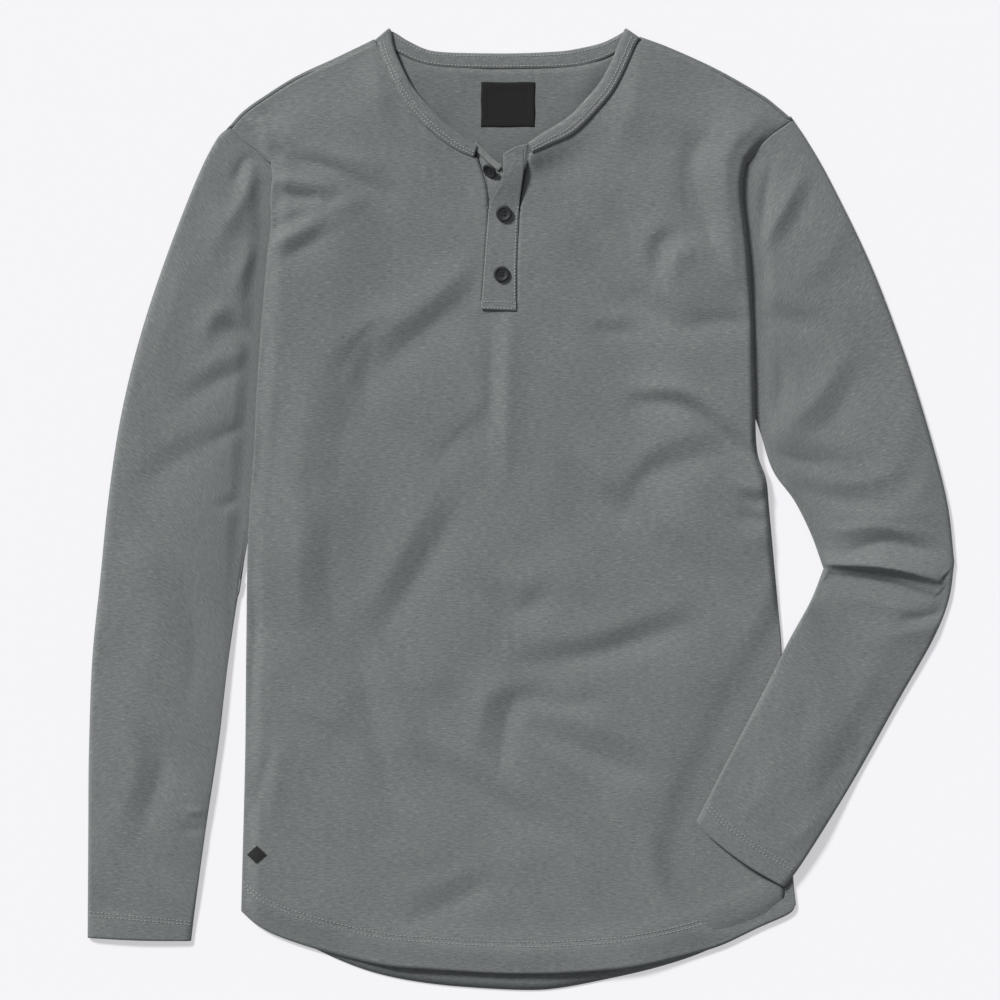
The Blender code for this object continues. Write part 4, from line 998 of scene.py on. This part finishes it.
def pressed(points, gap):
    """Rounds a strip's long edges down by this much, as a pressed fold does."""
    points[..., 2] -= gap * (1 - round_off(from_ends(points), 1.6))
    return points


under = pressed(net(UNDER_ROWS, 90, 30), 0.5)
under[..., 2] += placket_loft(under[..., 1])
placket_under = sew("placket_button_side", under, flat_lay(under), PLACKET_WALL, facing)
over = pressed(net(OVER_ROWS, 110, 34), 0.5)
over[..., 2] += placket_loft(over[..., 1]) - 0.4 + slack(over[..., 0] * 2.2, over[..., 1] * 2.2, 0.18)
placket_over = sew("placket_buttonhole_side", over, flat_lay(over), PLACKET_WALL, facing)
for made, node in ((placket_under, "placket_under"), (placket_over, "placket_over")):
    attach(made, "root")
    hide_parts(node)
# The free edge of the button side is bound with a narrow doubled edge.
binding_line = curve(BINDING_LINE, even(30))
binding_line[:, 2] += placket_loft(binding_line[:, 1])
sides = [binding_line + (0.55 * across, 0.75 * across, rise) for across, rise in BINDING_SECTION]
points = np.stack(sides, axis=1)
binding = sew("placket_binding", points, flat_lay(points), BINDING_WALL, facing)
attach(binding, "root")

# ---------------------------------------------------------------------------------------------
# Buttons. Three four-hole buttons of charcoal polyester, turned with a raised rim and a sunk
# middle, each sewn on with two bars of black thread.
BUTTON_RADIUS = 6.2
BUTTON_HEIGHT = 2.2
HOLE_RADIUS = 0.62
HOLE_CIRCLE = 1.7
BUTTON_PROFILE = [(0.0, 0.66), (0.30, 0.66), (0.50, 0.68), (0.60, 0.74), (0.66, 0.88), (0.72, 0.97),
                  (0.80, 1.0), (0.89, 0.96), (0.96, 0.82), (1.0, 0.60), (1.0, 0.44), (0.95, 0.20),
                  (0.86, 0.05), (0.74, 0.0), (0.0, 0.0)]
SHARP_ANGLE = 40.0
BUTTON_ANGLE = 38.0
BAR_WIDE = 0.42
BAR_LANES = (-0.22, 0.22)  # each bar is two threads side by side
# Each button's place (x, y, z of its underside) and its tilt.
BUTTONS = [((-23.9, 263.6, 6.9), 52.0), ((-13.3, 230.1, 4.5), 4.0), ((-15.2, 182.9, 4.0), 0.0)]

horn, tree, shader = new_finish("charcoal_button", {"Specular IOR Level": 0.3})
where = new_node(tree, "TexCoord", {})
grain = new_node(tree, "TexNoise", {"Scale": 420.0, "Detail": 4.0, "Distortion": 1.4})
tree.links.new(where.outputs["Object"], grain.inputs["Vector"])
tone = ramp(tree, grain.outputs["Fac"], [(0.0, (0.010, 0.011, 0.013)), (1.0, (0.034, 0.036, 0.040))])
tree.links.new(tone, shader.inputs["Base Color"])
dull = new_node(tree, "MapRange", {"To Min": 0.50, "To Max": 0.66})
tree.links.new(grain.outputs["Fac"], dull.inputs["Value"])
tree.links.new(dull.outputs["Result"], shader.inputs["Roughness"])
emboss(tree, shader, grain.outputs["Fac"], 0.2, 0.00005)


def thread(name, colour):
    """Spun thread: a twist of fine strands and a slight change of tone along it."""
    made, tree, shader = new_finish(name, {"Roughness": 0.55, "Sheen Weight": 0.2})
    where = new_node(tree, "TexCoord", {})
    strand = new_node(tree, "TexNoise", {"Scale": 2600.0, "Detail": 2.0})
    tree.links.new(where.outputs["Object"], strand.inputs["Vector"])
    shadow, light = [0.72 * part for part in colour], [1.25 * part for part in colour]
    tone = ramp(tree, strand.outputs["Fac"], [(0.3, shadow), (0.7, light)])
    tree.links.new(tone, shader.inputs["Base Color"])
    emboss(tree, shader, strand.outputs["Fac"], 0.4, 0.00005)
    return made


grey_thread = thread("pale_grey_thread", (0.40, 0.42, 0.42))
hem_thread = thread("grey_thread", (0.30, 0.315, 0.315))
# Near-black thread that stands for grey thread in shade: painted shade for the placket's open top and the
# needle holes.
painted_shade_thread = thread("thread_painted_shade", (0.055, 0.06, 0.062))
black_thread = thread("black_thread", (0.010, 0.010, 0.011))


def hard_piece(name, bm, finish):
    """An object of this mesh, smooth but for its edges."""
    mesh = bpy.data.meshes.new(name)
    bm.to_mesh(mesh)
    bm.free()
    mesh.materials.append(finish)
    mesh.shade_smooth()
    mesh.set_sharp_from_angle(angle=math.radians(SHARP_ANGLE))
    made = bpy.data.objects.new(name, mesh)
    scene.collection.objects.link(made)
    return made


lying = Matrix.Rotation(math.pi / 2, 4, "Y")
bm = bmesh.new()
bmesh.ops.create_uvsphere(bm, u_segments=6, v_segments=4, radius=1, matrix=lying)
bead = bpy.data.meshes.new("bead")
bm.to_mesh(bead)
bm.free()


def stitch(bm, start, end, wide, high=None):
    """One stitch, a bead of thread drawn out from start to end."""
    start, end = Vector(start), Vector(end)
    along = end - start
    turn = along.to_track_quat("X", "Z").to_matrix().to_4x4()
    size = Matrix.Diagonal((along.length / 2 * MM, wide / 2 * MM, (high or wide) / 2 * MM, 1))
    place = Matrix.Translation((start + end) / 2 * MM) @ turn @ size
    drawn = bead.copy()
    drawn.transform(place)
    bm.from_mesh(drawn)
    bpy.data.meshes.remove(drawn)


def turned_button(number, place):
    """A disc spun from its profile, with four holes drilled through it."""
    bm = bmesh.new()
    ring = [bm.verts.new((r * BUTTON_RADIUS * MM, 0, h * BUTTON_HEIGHT * MM)) for r, h in BUTTON_PROFILE]
    edges = [bm.edges.new(pair) for pair in zip(ring, ring[1:])]
    bmesh.ops.spin(bm, geom=ring + edges, cent=(0, 0, 0), axis=(0, 0, 1), angle=math.tau, steps=56,
                   use_merge=True)
    bmesh.ops.remove_doubles(bm, verts=bm.verts, dist=SAME_PLACE * MM)
    bmesh.ops.recalc_face_normals(bm, faces=bm.faces)
    bmesh.ops.transform(bm, matrix=place, verts=bm.verts)
    blank = hard_piece(f"button_blank_{number}", bm, horn)
    bm = bmesh.new()
    for angle in np.radians([45, 135, 225, 315]):
        hole = bmesh.ops.create_cone(bm, cap_ends=True, segments=20, radius1=HOLE_RADIUS * MM,
                                     radius2=HOLE_RADIUS * MM, depth=3 * BUTTON_HEIGHT * MM)
        out = Vector((math.cos(angle), math.sin(angle), 0)) * HOLE_CIRCLE * MM
        bmesh.ops.translate(bm, verts=hole["verts"], vec=out)
    bmesh.ops.transform(bm, matrix=place, verts=bm.verts)
    drill = hard_piece(f"button_drill_{number}", bm, horn)
    cut = blank.modifiers.new("Holes", "BOOLEAN")
    cut.operation = "DIFFERENCE"
    cut.object = drill
    shaped = bpy.data.meshes.new_from_object(blank.evaluated_get(bpy.context.evaluated_depsgraph_get()))
    shaped.name = f"button_{number}_turned"
    shaped.shade_smooth()
    shaped.set_sharp_from_angle(angle=math.radians(BUTTON_ANGLE))
    made = bpy.data.objects.new(f"button_{number}_turned", shaped)
    scene.collection.objects.link(made)
    bpy.data.objects.remove(blank)
    bpy.data.objects.remove(drill)
    return made


def button_bars(number, place):
    """Two bars of thread, each down one hole, over the middle and down the next."""
    bm = bmesh.new()
    reach = HOLE_CIRCLE * 0.74
    height = BUTTON_HEIGHT * 0.66
    other_end = Vector((-1, 1, 1))
    for side in (-reach, reach):
        for lane in BAR_LANES:
            low = Vector((-reach, side + lane, height - 0.5))
            rise = Vector((-reach * 0.5, side + lane, height + 0.22))
            stitch(bm, low, rise, BAR_WIDE)
            stitch(bm, rise, rise * other_end, BAR_WIDE)
            stitch(bm, rise * other_end, low * other_end, BAR_WIDE)
    bmesh.ops.transform(bm, matrix=place, verts=bm.verts)
    return hard_piece(f"button_thread_{number}", bm, black_thread)


for number, (spot, tilt) in enumerate(BUTTONS, start=1):
    lift = Vector((0, 0, float(placket_loft(spot[1]))))
    tip = Matrix.Rotation(math.radians(tilt), 4, Vector((1, -1, 0)).normalized())
    place = Matrix.Translation((Vector(spot) + lift) * MM) @ tip
    button = turned_button(number, place)
    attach(button, "root")
    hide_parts(f"button_{number}")
    bars = button_bars(number, place)
    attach(bars, "root")

# ---------------------------------------------------------------------------------------------
# Label. A blank rectangle of black woven damask inside the back of the neck, its edges turned
# under all round.
LABEL_LEFT, LABEL_RIGHT = -31.2, 10.8
LABEL_LOW, LABEL_HIGH = 298.0, 333.0
LABEL_LEVEL = 2.15
LABEL_WALL = 0.55
damask, tree, shader = new_finish("black_damask", {
    "Roughness": 0.62, "Sheen Weight": 0.02, "Specular IOR Level": 0.25})
where = on_cloth(tree)
diagonals, picks = ribs(tree, where, "DIAGONAL", 0.8, 0.3), ribs(tree, where, "Y", 0.35, 0.3)
twill = sum_or_product(tree, "MULTIPLY", diagonals, picks)
fleck = new_node(tree, "TexNoise", {"Scale": 1400.0})
tree.links.new(where, fleck.inputs["Vector"])
blend = new_node(tree, "Math", {1: 0.5})
blend.operation = "MULTIPLY_ADD"
tree.links.new(twill, blend.inputs[0])
tree.links.new(fleck.outputs["Fac"], blend.inputs[2])
tone = ramp(tree, blend.outputs["Value"], [(0.35, (0.004, 0.004, 0.005)), (0.95, (0.013, 0.013, 0.015))])
tree.links.new(tone, shader.inputs["Base Color"])
emboss(tree, shader, twill, 0.5, 0.00015)

x, y = np.meshgrid(np.linspace(LABEL_LEFT, LABEL_RIGHT, 57), np.linspace(LABEL_LOW, LABEL_HIGH, 49))
edge = np.minimum(np.minimum(x - LABEL_LEFT, LABEL_RIGHT - x), np.minimum(y - LABEL_LOW, LABEL_HIGH - y))
# The turned-under margins make it thicker all round, down to a step 5 mm in.
margin = 0.1 * (1 - smooth((edge - 4.2) / 1.2))
z = LABEL_LEVEL + margin - 0.35 * (1 - round_off(edge, 0.8)) + slack(2 * x, 2 * y, 0.1)
# Its sides waver a little.
x = x + 0.18 * np.sin(y * 0.31) * (np.abs(x - x.mean()) / 21)
y = y + 0.22 * np.sin(x * 0.22 + 1.0) * (np.abs(y - y.mean()) / 17.5)
points = np.dstack([x, y, z])
label = sew("neck_label_woven", points, points[..., :2], LABEL_WALL, damask)
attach(label, "root")
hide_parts("neck_label")

# ---------------------------------------------------------------------------------------------
# Embroidered lozenge. A small mark of black satin stitch near the hem on the left, its threads
# laid side by side and crowned in the middle.
MARK = (-206.0, -269.5)
MARK_HALF = 7.6
MARK_LANES = 30
MARK_PROUD = 0.25


def surface_of(*pieces):
    """A function that gives the height of these pieces' cloth, from above, or None beside it."""
    trees = []
    for piece in pieces:
        mesh = piece.data
        spots = [tuple(vert.co) for vert in mesh.vertices]
        trees.append(BVHTree.FromPolygons(spots, [tuple(face.vertices) for face in mesh.polygons]))

    def height(px, py):
        best = None
        for tree in trees:
            hit = tree.ray_cast(Vector((px * MM, py * MM, 0.1)), Vector((0, 0, -1)))
            if hit[0] is not None and (best is None or hit[0].z / MM > best):
                best = hit[0].z / MM
        return best

    return height


on_front = surface_of(front)
bm = bmesh.new()
for k in range(MARK_LANES):
    across = -MARK_HALF + 2 * MARK_HALF * (k + 0.5) / MARK_LANES
    half = (MARK_HALF - abs(across)) + 0.35
    ground = max(on_front(MARK[0] + across * 0.98, MARK[1] + away) for away in (-half * 0.7, 0, half * 0.7))
    middle = Vector((MARK[0] + across, MARK[1] + 0.16 * math.sin(5.1 * k), ground + MARK_PROUD))
    reach = Vector((0, half, 0))
    stitch(bm, middle - reach, middle + reach, 0.62, 1.0)
mark = hard_piece("hem_lozenge_satin", bm, black_thread)
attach(mark, "root")
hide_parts("hem_mark")

# ---------------------------------------------------------------------------------------------
# Stitching. Twin-needle coverstitch along hem, cuffs and neckband, and single lockstitch round the placket,
# in thread a shade paler than the cloth; beside the placket's open top its stitches are painted darker, as
# painted shade.
SLEEVE_LENGTH = 629.0
FOREARM_SHORT, FOREARM_LONG = 221.0, 290.0
LEFT_CUFF_ROWS = (17.2, 20.2)
RIGHT_CUFF_ROWS = (14.8, 17.8)
FRONT_BAND_ROWS = (0.16, 0.42)
BACK_BAND_ROWS = (0.16, 0.80)
# Each buttonhole's upper end and lower end.
BUTTONHOLES = [((-3.9, 272.2), (-9.4, 259.7)), ((-13.4, 238.2), (-13.4, 222.4)),
               ((-15.0, 192.7), (-15.2, 175.6))]
holes = []  # where the needle goes through, noted as the rows are sewn


def seam_row(bm, line, height, long=2.5, step=3.1, wide=0.7, proud=0.2, phase=0.0):
    """Stitches along a plane line, each lying on the cloth under it."""
    line = np.array(line, float)
    run = run_of(line)
    for k in range(int((run[-1] - phase) / step)):
        middle = phase + (k + 0.5) * step
        ends = []
        for at in (middle - long / 2, middle + long / 2):
            px, py = np.interp(at, run, line[:, 0]), np.interp(at, run, line[:, 1])
            level = height(px, py)
            if level is not None:
                ends.append((px, py, level + proud))
        if len(ends) == 2:
            stitch(bm, ends[0], ends[1], wide)
            # The needle's hole, between this stitch and the next.
            start, end = Vector(ends[0]), Vector(ends[1])
            hole = end + (end - start).normalized() * (step - long) / 2
            hole.z -= proud
            holes.append((hole, wide * 0.8))


def stitched(name, bm, finish):
    """All the stitches of one kind, as one piece."""
    made = hard_piece(name, bm, finish)
    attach(made, "root")
    return made


# Hem of the front: two rows.
hem_curve = curve(hem_line, even(200))
bm = bmesh.new()
for above in (HEM_DEPTH - 0.6, HEM_DEPTH + 2.8):
    row = hem_curve + (0, above)
    x, y = row[:, 0], row[:, 1]
    side_gap = np.minimum(x - side_x(LEFT_SIDE, y), side_x(RIGHT_SIDE, y) - x)
    seam_row(bm, row[side_gap > 0.4], on_front, phase=above % 1.3)
stitched("hem_stitching", bm, hem_thread)

# Cuffs: two rows on the upper layer of each.
bm = bmesh.new()
left_face, right_face = surface_of(sleeve_left), surface_of(sleeve_right)
for up in LEFT_CUFF_ROWS:
    outer, inner = (curve(side, [up / SLEEVE_LENGTH])[0] for side in (LEFT_SLEEVE_OUTER, LEFT_SLEEVE_INNER))
    seam_row(bm, np.linspace(outer + (0.6, 0), inner - (0.6, 0), 40) + (0, -0.4), left_face)
bend = curve(RIGHT_CUFF, even(40)) - np.linspace(RIGHT_CUFF[0], RIGHT_CUFF[-1], 41)
for up in RIGHT_CUFF_ROWS:
    inner, outer = curve(FOREARM_INNER, [up / FOREARM_SHORT])[0], curve(FOREARM_OUTER, [up / FOREARM_LONG])[0]
    row = np.linspace(inner, outer, 41) + bend
    seam_row(bm, row[1:-1], right_face)
stitched("cuff_stitching", bm, hem_thread)

# Neckband: two rows down each front, and a row along each edge at the back.
on_band = surface_of(band)
bm = bmesh.new()
for share in FRONT_BAND_ROWS:
    for part in (slice(0, LEFT_STEPS), right_part):
        line = seam[part] + share * (free[part] - seam[part])
        seam_row(bm, line, on_band, long=1.9, step=2.7, wide=0.66, proud=BAND_CLOTH + 0.2, phase=share)
for share in BACK_BAND_ROWS:
    line = seam[back_part] + share * (free[back_part] - seam[back_part])
    seam_row(bm, line, on_band, long=1.9, step=2.7, wide=0.66, phase=share)
stitched("neckband_stitching", bm, grey_thread)

# Placket: a row inside each long edge, painted dark at the open top as painted shade, and a box across its
# foot.
on_placket = surface_of(placket_over, placket_under, front)
bm = bmesh.new()
for row in ([(1.6, 280.0), (1.0, 252.7), (-1.0, 237.1)], [(-31.2, 270.6), (-27.3, 256.6), (-25.7, 241.0)]):
    seam_row(bm, curve(row, even(30)), on_placket, long=1.9, step=2.5, wide=0.42)
stitched("placket_stitching_painted_shade", bm, painted_shade_thread)
bm = bmesh.new()
right_row = [(-2.0, 236.0), (-3.4, 227.0), (-4.7, 194.2), (-5.0, 161.4)]
seam_row(bm, curve(right_row, even(60)), on_placket, long=1.9, step=2.6, wide=0.74, proud=0.3)
left_row = [(-26.4, 236.0), (-25.0, 229.0), (-27.4, 194.2), (-29.6, 161.4)]
seam_row(bm, curve(left_row, even(60)), on_placket, long=1.9, step=2.6, wide=0.5)
for row in ([(-29.8, 161.4), (-4.6, 161.0)], [(-29.8, 156.6), (-4.6, 156.2)],
            [(-30.2, 156.4), (-30.2, 162.0)], [(-4.5, 156.4), (-4.5, 162.0)]):
    seam_row(bm, row, on_placket, long=1.9, step=2.6, wide=0.66)
stitched("placket_stitching", bm, grey_thread)

# Buttonholes: close satin stitches on both sides of a slit, one on the open flap and one under
# each fastened button, of which the upper end shows.
bm = bmesh.new()
for top, foot in BUTTONHOLES:
    top, foot = np.array(top), np.array(foot)
    along = (foot - top) / np.linalg.norm(foot - top)
    side = np.array([-along[1], along[0]])
    count = int(np.linalg.norm(foot - top) / 0.62)
    for k in range(count):
        middle = top + (foot - top) * (k + 0.5) / count
        for which in (-1, 1):
            near, far = middle + side * which * 0.25, middle + side * which * 1.25
            near_level, far_level = on_placket(*near), on_placket(*far)
            if near_level is not None and far_level is not None:
                stitch(bm, (*near, near_level + 0.1), (*far, far_level + 0.08), 0.5)
    for end in (top, foot):
        seam_row(bm, [end - side * 1.3, end + side * 1.3], on_placket, long=2.4, step=2.5, wide=0.6)
stitched("buttonholes", bm, thread("buttonhole_thread", (0.24, 0.25, 0.255)))

# Needle holes. Small dark spots where the thread goes through the cloth, painted shade for the holes'
# hollows.
bm = bmesh.new()
for spot, wide in holes:
    reach = Vector((wide * 0.35, 0, 0))
    stitch(bm, spot - reach, spot + reach, wide, 0.4)
stitched("needle_hole_painted_shade", bm, painted_shade_thread)
